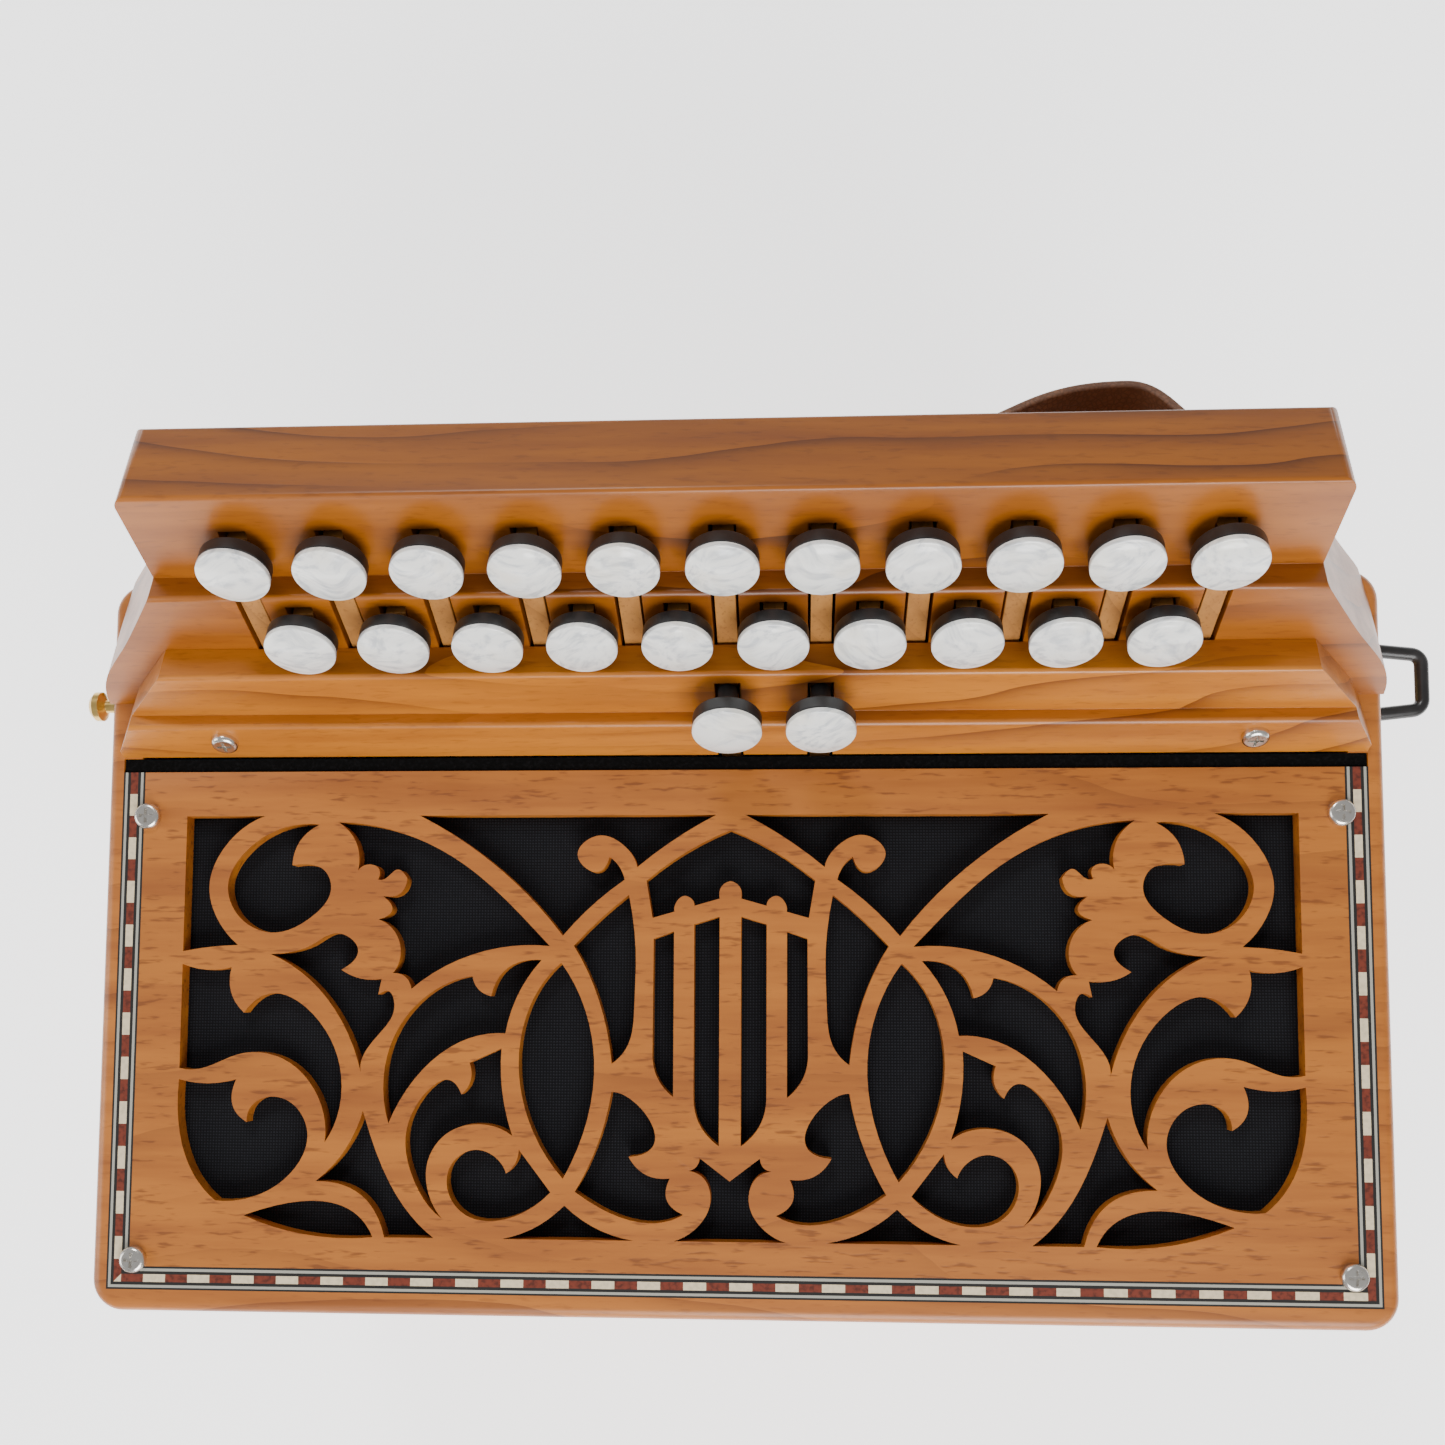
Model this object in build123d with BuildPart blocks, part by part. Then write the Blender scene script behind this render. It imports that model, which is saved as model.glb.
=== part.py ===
from build123d import *
import math
import os

# A button accordion with 23 treble buttons in three rows and 8 bass buttons. It stands on its
# bass end: +Z runs along the bellows to the treble end, -Y is the front, X is the long side.
# The origin is the middle of the bass end's flat face. Sizes are in millimetres.

# Cases, frames and bellows
case_w = 285.0
case_d = 165.0
corner_r = 7.0
wall = 8.0
edge_round = 2.5
foot_h = 8.0
foot_r = 9.0
foot_inset = 27.0
bass_case_h = 56.0
treble_case_h = 62.0
frame_h = 8.0
frame_wall = 14.0
fold_count = 14
fold_pitch = 4.0
bellows_inset = 3.0
bellows_depth = 20.0

# Grille plate, its inlay and what lies under it
plate_t = 4.0
plate_margin = 3.8
plate_front = 5.0
plate_gap_rear = 44.2
window_half_w = 123.6
window_front = 65.4
window_rear = 28.2
cloth_t = 0.6
cloth_lap = 2.0
felt_w = 3.1
felt_gap = 0.2
inlay_depth = 1.0
inlay_bands = (0.0, 0.7, 1.2, 1.65, 3.35, 3.85, 4.45, 5.05)
inlay_block = 5.0
grille_screw_x = 132.6
grille_screw_rear = 28.2
grille_screw_front = 70.9
screw_head_r = 2.95
screw_head_h = 1.7
screw_head_round = 1.0
screw_shank_r = 1.4
screw_length = 12.0
recess_len = 3.25
recess_w = 0.7
recess_depth = 0.8
block_size = 8.0
block_shift = 2.0
rail_t = 5.0
rail_gap = 0.8
block_gap = 0.9

# Keyboard board, measured up its slope (u) and out from its back face (w)
slope = 64.6
board_half_w = 120.0
board_corner_r = 3.0
arris_r = 1.1
tread_1_u = 23.5
tread_1_w = 19.75
tread_1_len = 22.95
tread_2_w = 25.6
tread_2_len = 16.45
tread_3_w = 33.5
tread_3_len = 13.1
apron_w = 36.9
apron_screw_x = 113.0
apron_screw_u = 11.2
board_flare = ((5.5, 7.8), (12.4, 17.0), (19.0, 25.4))
apron_ends = ((1.4, -1.0), (3.6, 1.5))
apron_end_reach = 13.3
apron_end_drop = 9.0
cut_reach = 60.0

# Keys
pitch = 19.77
lever_w = 4.4
slot_w = 5.6
slot_floor_w = 6.0
lever_back_w = 10.0
lever_depth = 9.6
lever_foot_u = 22.0
lever_sink = 0.8
lever_step_gap = 1.5
tread_gap = 0.6
slot_reach = (13.3, 13.4, 9.9)
lever_reach = (10.3, 10.4, 5.2)
button_reach = (8.1, 7.9, 6.6)
slot_run_out = 5.0
button_r = 7.4
button_lift = 3.1
button_base_t = 3.1
pearl_edge_t = 1.2
pearl_crown = 1.6
axle_r = 1.0
axle_clearance = 0.05
axle_u = -25.3
axle_w = 16.0
short_axle_y = 46.0
short_axle_drop = 8.0
short_lever_t = 6.0
short_lever_sink = 1.1
short_lever_foot_u = 20.0
short_boss = 3.5
short_arm_w = 2.4
short_arm_half = 2.0
short_bridge_h = 5.0
pallet_w = 15.0
pallet_len = 30.0
short_pallet_len = 14.0
pallet_wood_t = 4.0
pallet_felt_t = 3.0
pallet_row_y = (-37.8, 0.0, 26.5)
arm_drop = 13.5
arm_t = 4.0
arm_to_pallet = 7.0
arm_post_half = 4.0
axle_overhang = 10.0
short_axle_overhang = 2.0
bracket_t = 1.5
bracket_foot_half = 5.0
bracket_top_half = 4.0
hanger_half = 3.0
spring_t = 0.7
spring_w = 1.4
spring_gap = 0.3

# Reed blocks
sound_board_t = 6.0
reed_block_w = 18.0
reed_plate_t = 1.2
reed_plate_w = 14.0
reed_plate_ends = (4.0, 3.0)
reed_chamber_w = 8.0
reed_chamber_gap = 6.0
reed_chamber_floor = 5.0
reed_block_end = 8.0
treble_foot_w = 10.0
short_block_w = 14.0
pallet_hole_w = 9.0
pallet_hole_len = (22.0, 22.0, 9.0)
bass_hole = (12.0, 20.0)
bass_block_w = 20.0
bass_foot_w = 14.0
bass_reed_pitch = 36.0
bass_row_y = (-48.0, -12.0)
bass_board_z = 42.0
bass_reed_h = 34.0

# Bass end panel, bass buttons and air button
panel_t = 4.0
panel_oval_x = 52.0
panel_oval_y = -22.0
panel_oval = (17.0, 30.0)
panel_leaf = (12.0, 25.0)
panel_bar = (3.0, 60.0)
panel_block = (9.0, 12.0)
panel_block_shift = 2.5
panel_block_h = 14.0
panel_screw_inset = 14.0
rosette_r = 16.0
rosette_t = 1.0
bass_notch_x = (-75.0, 45.0)
bass_notch = 38.0
cheek_t = 6.0
bass_board_t = 8.0
bass_pitch = 18.0
bass_row_t = (20.0, 36.0)
bass_button_r = 6.0
bass_pearl_edge = 1.0
bass_pearl_crown = 1.2
bass_stem_r = 2.5
bass_stem_clearance = 0.06
bass_stem_inside = 6.0
bass_flange_r = 6.5
bass_flange_t = 3.0
bass_felt_t = 3.0
bass_base_t = 2.0
bass_travel = 3.0
press_gap = 0.4
air_x = 112.0
air_drop = 28.0
air_travel = 5.0
air_gap = 0.6
air_hole_r = 3.5
air_ring_r = 8.0
air_disc_margin = 1.6
air_disc_t = 4.0
air_felt_t = 3.0
air_cap_r = 7.0
air_cap_round = 1.5
air_cap_t = 3.5

# Straps and fittings
strap_t = 3.0
strap_w = 36.0
strap_x = (-124.0, 84.0)
strap_bow = 32.0
strap_foot = 14.0
strap_ease = 44.0
strap_bracket_w = 10.0
strap_bracket_t = 1.5
strap_bracket_round = 2.0
strap_bracket_gap = 0.1
thumb_strap_t = 2.0
thumb_strap_w = 24.0
thumb_strap_u = 27.0
thumb_strap_bow = 15.5
thumb_foot = (34.0, 101.0)
thumb_tab = 8.0
thumb_peak = 82.0
thumb_ease = (24.0, 9.5)
ring_wire_r = 1.6
ring_w = 19.0
ring_reach = 14.0
ring_drop = 22.0
ring_y = (69.0, 61.5)
ring_axis_out = 3.2
ring_splay = 1.5
ring_bend = 2.6
ring_clearance = 0.08
lug_reach = 6.4
lug_h = 8.0
lug_w = 7.0
lug_plate = (9.0, 17.0)
lug_plate_round = 2.0
lug_plate_t = 1.2
stud_y = 55.4
stud_drop = 9.0
stud_profile = (
    (0, 0), (3.0, 0), (3.0, 1.0), (1.5, 2.0), (1.5, 5.0), (3.4, 6.0), (3.4, 7.4), (2.4, 8.4), (0, 8.8),
)
foot_taper = 4.0
felt_sink = 0.4

# Heights that follow
z_bass = 0.0
z_bass_top = z_bass + bass_case_h
z_bellows = z_bass_top + frame_h
z_bellows_top = z_bellows + fold_count * fold_pitch
z_treble = z_bellows_top + frame_h
z_rim = z_treble + treble_case_h
half_w = case_w / 2
half_d = case_d / 2
run = math.cos(math.radians(slope))
rise = math.sin(math.radians(slope))
plate_half_w = half_w - plate_margin
plate_y = (plate_front - half_d, half_d - plate_gap_rear)
z_arm = z_rim - arm_drop
z_pallet = z_arm - arm_t - arm_to_pallet
z_sound_board = z_pallet - pallet_wood_t - pallet_felt_t
z_panel = z_bass + panel_t
grille_screw_spots = [
    (side * grille_screw_x, y) for side in (-1, 1) for y in (grille_screw_rear, -grille_screw_front)
]

os.makedirs("parts", exist_ok=True)


def on_board(u, w):
    """Y and Z of the point u up the keyboard's slope and w out from its back face."""
    return (half_d + u * run - w * rise, z_rim + u * rise + w * run)


def rim_u(w):
    """How far up the slope the layer at w meets the plane of the case's rim."""
    return -w * run / rise


board_plane = Plane(origin=(0, half_d, z_rim), x_dir=(1, 0, 0), z_dir=(0, -rise, run))


def board_spot(x, u, w):
    """Plane on the keyboard at x, u up its slope and w out from its back, facing outwards."""
    origin = board_plane.from_local_coords((x, u, w))
    return Plane(origin=origin, x_dir=board_plane.x_dir, z_dir=board_plane.z_dir)


def write(name, *pieces):
    """Label the pieces and write them as one node, each piece its own solid."""
    solids = [solid for piece in pieces for solid in piece.solids()]
    node = solids[0] if len(solids) == 1 else Compound(children=solids)
    node.label = name
    export_step(node, f"parts/{name}.step")


def yz_plate(points, x, width, holes=()):
    """A flat piece with a side outline in Y and Z, centred at x, with cross holes (y, z, r)."""
    with BuildPart() as piece:
        with BuildSketch(Plane.YZ.offset(x)):
            with BuildLine():
                Polyline(*points, close=True)
            make_face()
            for y, z, radius in holes:
                with Locations((y, z)):
                    Circle(radius, mode=Mode.SUBTRACT)
        extrude(amount=width / 2, both=True)
    return piece.part


def turned(plane, outline):
    """A turned piece whose half profile (radius, height) stands on the plane's centre."""
    side = Plane(origin=plane.origin, x_dir=plane.x_dir, z_dir=-plane.y_dir)
    with BuildPart() as piece:
        with BuildSketch(side):
            with BuildLine():
                Polyline(*outline, close=True)
            make_face()
        revolve(axis=Axis(plane.origin, plane.z_dir))
    return piece.part


def pearl(plane, radius, edge, crown):
    """A domed pearl cap."""
    side = Plane(origin=plane.origin, x_dir=plane.x_dir, z_dir=-plane.y_dir)
    with BuildPart() as piece:
        with BuildSketch(side):
            with BuildLine():
                foot = Polyline((0, edge + crown), (0, 0), (radius, 0), (radius, edge))
                RadiusArc(foot @ 1, foot @ 0, -(radius ** 2 + crown ** 2) / (2 * crown))
            make_face()
        revolve(axis=Axis(plane.origin, plane.z_dir))
    return piece.part


def screw(plane):
    """A round-headed screw with a cross recess; the plane lies under its head."""
    with BuildPart() as piece:
        with BuildSketch(plane):
            Circle(screw_head_r)
        extrude(amount=screw_head_h)
        rims = piece.edges().filter_by(GeomType.CIRCLE)
        top_rim = rims.sort_by(lambda edge: plane.to_local_coords(edge.center()).Z)[-1]
        fillet(top_rim, screw_head_round)
        with BuildSketch(plane.offset(screw_head_h)):
            Rectangle(recess_len, recess_w)
            Rectangle(recess_w, recess_len)
        extrude(amount=-recess_depth, mode=Mode.SUBTRACT)
        with BuildSketch(plane):
            Circle(screw_shank_r)
        extrude(amount=-screw_length)
    return piece.part


def screw_holes(spots, z):
    """Holes for screw shanks along Z at the spots, passing right through at z."""
    with BuildPart() as holes:
        with Locations(*[(x, y, z) for x, y in spots]):
            Cylinder(screw_shank_r, 2 * (screw_length + panel_t))
    return holes.part


# ---------------------------------------------------------------- cases, frames and bellows
inner_w = case_w - 2 * wall
inner_d = case_d - 2 * wall
short_axle = (short_axle_y, z_rim - short_axle_drop)
axle = on_board(axle_u, axle_w)
rail_y = (window_rear + cloth_lap + rail_gap, plate_y[1] + felt_w)
block_x = (window_half_w + cloth_lap + block_gap, half_w - wall)
block_mid_x = sum(block_x) / 2

with BuildPart() as treble_case:
    with BuildSketch(Plane.XY.offset(z_treble)):
        RectangleRounded(case_w, case_d, corner_r)
    extrude(amount=treble_case_h)
    fillet(treble_case.faces().sort_by(Axis.Z)[-1].edges(), edge_round)
    with BuildSketch(Plane.XY.offset(z_treble)):
        Rectangle(inner_w, inner_d)
    extrude(amount=treble_case_h, mode=Mode.SUBTRACT)
    with BuildSketch(Plane.XY.offset(z_rim - plate_t)):
        with Locations((0, (plate_y[0] + rail_y[1]) / 2)):
            Rectangle(2 * plate_half_w, rail_y[1] - plate_y[0])
    extrude(amount=plate_t, mode=Mode.SUBTRACT)
    with BuildSketch(Plane.XY.offset(z_rim - plate_t)):
        with Locations((0, sum(rail_y) / 2)):
            Rectangle(inner_w, rail_y[1] - rail_y[0])
        with Locations(
            *[
                (side * block_mid_x, y)
                for side in (-1, 1)
                for y in (grille_screw_rear - block_shift, -grille_screw_front)
            ]
        ):
            Rectangle(block_x[1] - block_x[0], block_size)
    extrude(amount=-rail_t)
    add(screw_holes(grille_screw_spots, z_rim), mode=Mode.SUBTRACT)
write("treble_case", treble_case.part)


def bellows_frame(z):
    """A wooden frame between a case and the bellows."""
    with BuildPart() as frame:
        with BuildSketch(Plane.XY.offset(z)):
            RectangleRounded(case_w, case_d, corner_r)
            Rectangle(case_w - 2 * frame_wall, case_d - 2 * frame_wall, mode=Mode.SUBTRACT)
        extrude(amount=frame_h)
    return frame.part


write("treble_bellows_frame", bellows_frame(z_bellows_top))
write("bass_bellows_frame", bellows_frame(z_bass_top))

bellows_w = case_w - 2 * bellows_inset
bellows_d = case_d - 2 * bellows_inset
with BuildPart() as bellows:
    with BuildSketch(Plane.XY.offset(z_bellows)):
        RectangleRounded(bellows_w, bellows_d, corner_r)
        Rectangle(
            bellows_w - 2 * bellows_depth, bellows_d - 2 * bellows_depth, mode=Mode.SUBTRACT
        )
    extrude(amount=z_bellows_top - z_bellows)
write("bellows", bellows.part)

# ---------------------------------------------------------------- grille
# Each cut-out of the fretwork's left half is a ring of curves from corner to corner, in
# millimetres on the plate; the right half is its mirror image.
left = -window_half_w
top = window_rear
low = -window_front
cutouts = {
    "corner": [
        [(left, top), (-105.5, top)],
        [(-105.5, top), (-115.5, 20), (-118, 12), (-116, 5), (-111, -1)],
        [(-111, -1), (-117, -1.4), (left, -2.4)],
        [(left, -2.4), (left, top)],
    ],
    "loop_eye": [
        [(-93, 26.2), (-101, 25.6), (-110, 20), (-113.7, 12.5), (-110, 4.5), (-103, 1.8),
         (-94.5, 5.2), (-90, 12), (-91.8, 16), (-95.5, 17.2), (-99, 17)],
        [(-99, 17), (-97.5, 22.3), (-93, 26.2)],
    ],
    "great_arc": [
        [(-88.5, 26.7), (-75, 24.6), (-60, 17.3), (-48, 7), (-40.2, -1.1)],
        [(-40.2, -1.1), (-52, -1.6), (-62, -4.8), (-71.2, -10.7)],
        [(-71.2, -10.7), (-72.8, -7.9), (-75.5, -7.2)],
        [(-75.5, -7.2), (-73.8, -2), (-75.2, 2), (-79, 4.8)],
        [(-79, 4.8), (-75.9, 7), (-78, 10)],
        [(-78, 10), (-74, 10.8), (-72.6, 14)],
        [(-72.6, 14), (-75.8, 15.6), (-77.8, 13.9), (-79.3, 13.8)],
        [(-79.3, 13.8), (-79.8, 16.8), (-82, 17.1), (-83.9, 15.8)],
        [(-83.9, 15.8), (-84.4, 22), (-88.5, 26.7)],
    ],
    "ogee_outside": [
        [(-70, top), (-3.2, top)],
        [(-3.2, top), (-11, 23.7), (-20.8, 16.5)],
        [(-20.8, 16.5), (-24.5, 21.9), (-30, 23.5), (-34.2, 19.3), (-31, 15.6), (-27, 18.8)],
        [(-27, 18.8), (-24.8, 16.6), (-23.6, 13.7)],
        [(-23.6, 13.7), (-31, 7.8), (-37.3, 1.2)],
        [(-37.3, 1.2), (-47, 12), (-58, 21), (-70, top)],
    ],
    "ogee_inside": [
        [(0, 24.8), (-9, 20.4), (-18.7, 13.5)],
        [(-18.7, 13.5), (-17.3, 5.2)],
        [(-17.3, 5.2), (-12.4, 6.6)],
        [(-12.4, 6.6), (-11.9, 8.9), (-10.2, 10.1), (-8.6, 9.4), (-8, 7.9)],
        [(-8, 7.9), (-2.4, 9.5)],
        [(-2.4, 9.5), (-1.9, 12.3), (0, 13.4)],
        [(0, 13.4), (0, 24.8)],
    ],
    "lens": [
        [(-37.6, -4.8), (-43.8, -13), (-46.8, -26), (-44.8, -38.5), (-36.7, -52.2)],
        [(-36.7, -52.2), (-31.9, -41), (-30, -27), (-32.2, -15), (-37.6, -4.8)],
    ],
    "lyre_side": [
        [(-22.6, 10.3), (-29, 4.9), (-34.8, -1)],
        [(-34.8, -1), (-30, -10.5), (-27.4, -19), (-26.1, -27)],
        [(-26.1, -27), (-22.3, -22.3), (-21.2, -14), (-21, -2), (-22.6, 10.3)],
    ],
    "string_gap": [
        [(-17, 0.6), (-12.5, 2.2)],
        [(-12.5, 2.2), (-12.5, -34.2)],
        [(-12.5, -34.2), (-16, -30), (-17.1, -24)],
        [(-17.1, -24), (-17, 0.6)],
    ],
    "middle_gap": [
        [(-8, 3.8), (-2.4, 5.5)],
        [(-2.4, 5.5), (-2.4, -44.8)],
        [(-2.4, -44.8), (-6.7, -40), (-8, -34)],
        [(-8, -34), (-8, 3.8)],
    ],
    "upper_scroll": [
        [(-42, -4.2), (-50, -6.3), (-53.2, -12.3)],
        [(-53.2, -12.3), (-56.4, -10.4), (-57.5, -7.8)],
        [(-57.5, -7.8), (-68, -12.4), (-75, -21.5), (-77.1, -31), (-75.8, -40.5)],
        [(-75.8, -40.5), (-70, -30.5), (-61, -22.9), (-49.9, -20.5)],
        [(-49.9, -20.5), (-47, -11.5), (-42, -4.2)],
    ],
    "middle_scroll": [
        [(-50.7, -23.8), (-57.8, -27)],
        [(-57.8, -27), (-57.5, -31), (-59.5, -34)],
        [(-59.5, -34), (-62.6, -30.8), (-69, -35.5), (-71.8, -46), (-69.9, -52.7),
         (-66.3, -58.6), (-63.4, -61.2)],
        [(-63.4, -61.2), (-66.4, -56), (-66.8, -48.7), (-62.5, -42.5), (-56, -40.5), (-48, -43)],
        [(-48, -43), (-50.3, -34), (-50.7, -23.8)],
    ],
    "low_scroll_eye": [
        [(-46.5, -46), (-47.4, -49.2), (-49.3, -51.2)],
        [(-49.3, -51.2), (-51.6, -47.8), (-56, -46.1), (-61.3, -49), (-62.2, -55),
         (-58, -60.4), (-51.5, -61.5), (-44.5, -59.2), (-39.4, -55.2)],
        [(-39.4, -55.2), (-46.5, -46)],
    ],
    "low_wedge": [
        [(-50, low), (-42.8, -62.9), (-36.3, -58)],
        [(-36.3, -58), (-29, -63), (-21, low)],
        [(-21, low), (-50, low)],
    ],
    "lyre_foot": [
        [(-34, -55), (-28.3, -42.5), (-26.1, -33.2)],
        [(-26.1, -33.2), (-18.5, -38), (-16.4, -43.5), (-22.2, -47.3)],
        [(-22.2, -47.3), (-18.5, -51.1), (-13.1, -51.9)],
        [(-13.1, -51.9), (-13.8, -56.4), (-10.1, -59.7)],
        [(-10.1, -59.7), (-17, -61.6), (-26, -59.6), (-34, -55)],
    ],
    "foot_centre": [
        [(0, -52.4), (-6.6, -47.4)],
        [(-6.6, -47.4), (-7.5, -49.5), (-9.2, -50.2)],
        [(-9.2, -50.2), (-5, -52.7), (-4.2, -57), (-7, -62.3), (-12.3, low)],
        [(-12.3, low), (0, low)],
        [(0, low), (0, -52.4)],
    ],
    "leaf_hook": [
        [(-103.5, -3), (-99, -2.6), (-94, -0.9), (-88.5, 1.7), (-84.1, -0.6), (-87.2, -6.5)],
        [(-87.2, -6.5), (-82.6, -8.5), (-78, -8.5)],
        [(-78, -8.5), (-78.7, -12)],
        [(-78.7, -12), (-76.1, -11.4), (-75, -14), (-79.4, -22), (-82.3, -29.2)],
        [(-82.3, -29.2), (-86.4, -18.7), (-94, -9), (-103.5, -3)],
    ],
    "left_scroll": [
        [(left, -5.3), (-118, -6.6), (-112.3, -6)],
        [(-112.3, -6), (-112.3, -11.5), (-109.2, -16.2)],
        [(-109.2, -16.2), (-102, -11.8), (-92, -18), (-86.7, -30), (-90.1, -44.8)],
        [(-90.1, -44.8), (-92.5, -33.5), (-100, -26.4), (-110, -25.4), (-118, -28.5),
         (left, -28.6)],
        [(left, -28.6), (left, -5.3)],
    ],
    "left_eye": [
        [(left, -31.1), (-117, -32), (-110.5, -31)],
        [(-110.5, -31), (-110.9, -37.5), (-107.9, -40.5)],
        [(-107.9, -40.5), (-105.4, -35.6), (-99.5, -35.3), (-94, -43), (-97.5, -51.5),
         (-106, -56.9), (-114.5, -57.8)],
        [(-114.5, -57.8), (-121, -49.5), (-123.5, -40), (left, -31.1)],
    ],
    "low_leaf": [
        [(-108, -61), (-97, -58), (-85, -59), (-78.8, low)],
        [(-78.8, low), (-94, -65), (-108, -61)],
    ],
    "low_curve": [
        [(-81.6, -37.8), (-85.2, -46), (-91.9, -53.3)],
        [(-91.9, -53.3), (-81.5, -56.3), (-76.2, low)],
        [(-76.2, low), (-65.2, low)],
        [(-65.2, low), (-75, -54), (-79.5, -44), (-81.6, -37.8)],
    ],
}


def fret_hole(runs):
    """One cut-out and its mirror image, as solids that pass right through the plate."""
    with BuildPart() as hole:
        with BuildSketch(Plane.XY.offset(z_rim - plate_t - 1)):
            with BuildLine():
                for points in runs:
                    if len(points) == 2:
                        Line(*points)
                    else:
                        Spline(*points)
            make_face()
        extrude(amount=plate_t + 2)
        mirror(about=Plane.YZ)
    return hole.part


fret_holes = [fret_hole(runs) for runs in cutouts.values()]
plate_mid_y = sum(plate_y) / 2
plate_d = plate_y[1] - plate_y[0]
with BuildPart() as grille_plate:
    with BuildSketch(Plane.XY.offset(z_rim - plate_t)):
        with Locations((0, plate_mid_y)):
            Rectangle(2 * plate_half_w, plate_d)
    extrude(amount=plate_t)
    add(fret_holes, mode=Mode.SUBTRACT)
    with BuildSketch(Plane.XY.offset(z_rim - inlay_depth)):
        with Locations((0, plate_mid_y)):
            Rectangle(2 * plate_half_w, plate_d)
        with Locations((0, plate_mid_y + inlay_bands[-1] / 2)):
            Rectangle(
                2 * (plate_half_w - inlay_bands[-1]), plate_d - inlay_bands[-1],
                mode=Mode.SUBTRACT,
            )
    extrude(amount=inlay_depth, mode=Mode.SUBTRACT)
    add(screw_holes(grille_screw_spots, z_rim), mode=Mode.SUBTRACT)
write("grille_plate", grille_plate.part)


def inlay_band(outer, inner):
    """A line of the inlay down both sides and along the front, between two insets."""
    with BuildPart() as band:
        with BuildSketch(Plane.XY.offset(z_rim - inlay_depth)):
            with Locations((0, plate_mid_y + outer / 2)):
                Rectangle(2 * (plate_half_w - outer), plate_d - outer)
            with Locations((0, plate_mid_y + inner / 2)):
                Rectangle(2 * (plate_half_w - inner), plate_d - inner, mode=Mode.SUBTRACT)
        extrude(amount=inlay_depth)
        add(screw_holes(grille_screw_spots, z_rim), mode=Mode.SUBTRACT)
    return band.part


bands = list(zip(inlay_bands, inlay_bands[1:]))
blocks_outer, blocks_inner = bands.pop(3)
lines = [inlay_band(outer, inner) for outer, inner in bands]
block_t = blocks_inner - blocks_outer
side_run = plate_d - blocks_outer
front_run = 2 * (plate_half_w - blocks_inner)
side_count = round(side_run / inlay_block)
front_count = round(front_run / inlay_block)
side_x = plate_half_w - (blocks_outer + blocks_inner) / 2
front_y = plate_y[0] + (blocks_outer + blocks_inner) / 2
blocks = []
for places, size_x, size_y, count, run_length in (
    ([(-side_x, 1), (side_x, 1)], block_t, side_run / side_count, side_count, side_run),
    ([(0, 0)], front_run / front_count, block_t, front_count, front_run),
):
    for x, is_side in places:
        for i in range(count):
            along = (i + 0.5) * run_length / count
            if is_side:
                centre = (x, plate_y[1] - along)
            else:
                centre = (along - run_length / 2, front_y)
            with BuildPart() as block:
                with BuildSketch(Plane.XY.offset(z_rim - inlay_depth)):
                    with Locations(centre):
                        Rectangle(size_x, size_y)
                extrude(amount=inlay_depth)
            blocks.append(block.part)
write("grille_inlay", *lines, *blocks)

with BuildPart() as grille_cloth:
    with BuildSketch(Plane.XY.offset(z_rim - plate_t - cloth_t)):
        with Locations((0, (window_rear - window_front) / 2)):
            Rectangle(
                2 * (window_half_w + cloth_lap), window_rear + window_front + 2 * cloth_lap
            )
    extrude(amount=cloth_t)
write("grille_cloth", grille_cloth.part)

with BuildPart() as felt_strip:
    with BuildSketch(Plane.XY.offset(z_rim - plate_t)):
        with Locations((0, plate_y[1] + felt_w / 2)):
            Rectangle(2 * (plate_half_w - felt_gap), felt_w - felt_gap)
    extrude(amount=plate_t - felt_sink)
write("felt_strip", felt_strip.part)

# ---------------------------------------------------------------- keyboard
row_x = (
    [pitch * (k - 5) for k in range(11)],
    [pitch * (k - 4.5) for k in range(10)],
    [0, pitch],
)
tread_2_u = tread_1_u - tread_2_len
tread_3_u = tread_2_u - tread_3_len
tread_u = (tread_1_u, tread_2_u, tread_3_u)
slot_end_u = [u + reach for u, reach in zip(tread_u, slot_reach)]
lever_end_u = [u + reach for u, reach in zip(tread_u, lever_reach)]
button_u = [u + reach for u, reach in zip(tread_u, button_reach)]
tread_w = (tread_1_w, tread_2_w, tread_3_w)
row_lift = (button_lift, button_lift, button_lift * 2)
row_sink = (lever_sink, lever_sink, lever_sink)


def slots(row, floor_w):
    """Solids that cut a row's lever slots, from its slot end down past the keyboard's foot."""
    low_u = rim_u(apron_w) - slot_run_out
    end_u = slot_end_u[row]
    with BuildPart() as cutter:
        with BuildSketch(board_plane.offset(floor_w)):
            with Locations(*[(x, (end_u + low_u) / 2) for x in row_x[row]]):
                Rectangle(slot_w, end_u - low_u)
        extrude(amount=apron_w)
    return cutter.part


def round_arrises(outline, *corners):
    """Round an outline's outer corners at the given points."""
    found = [
        vertex
        for vertex in outline.vertices()
        if min(math.dist((vertex.X, vertex.Y), corner) for corner in corners) < arris_r / 10
    ]
    fillet(found, arris_r)


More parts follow.
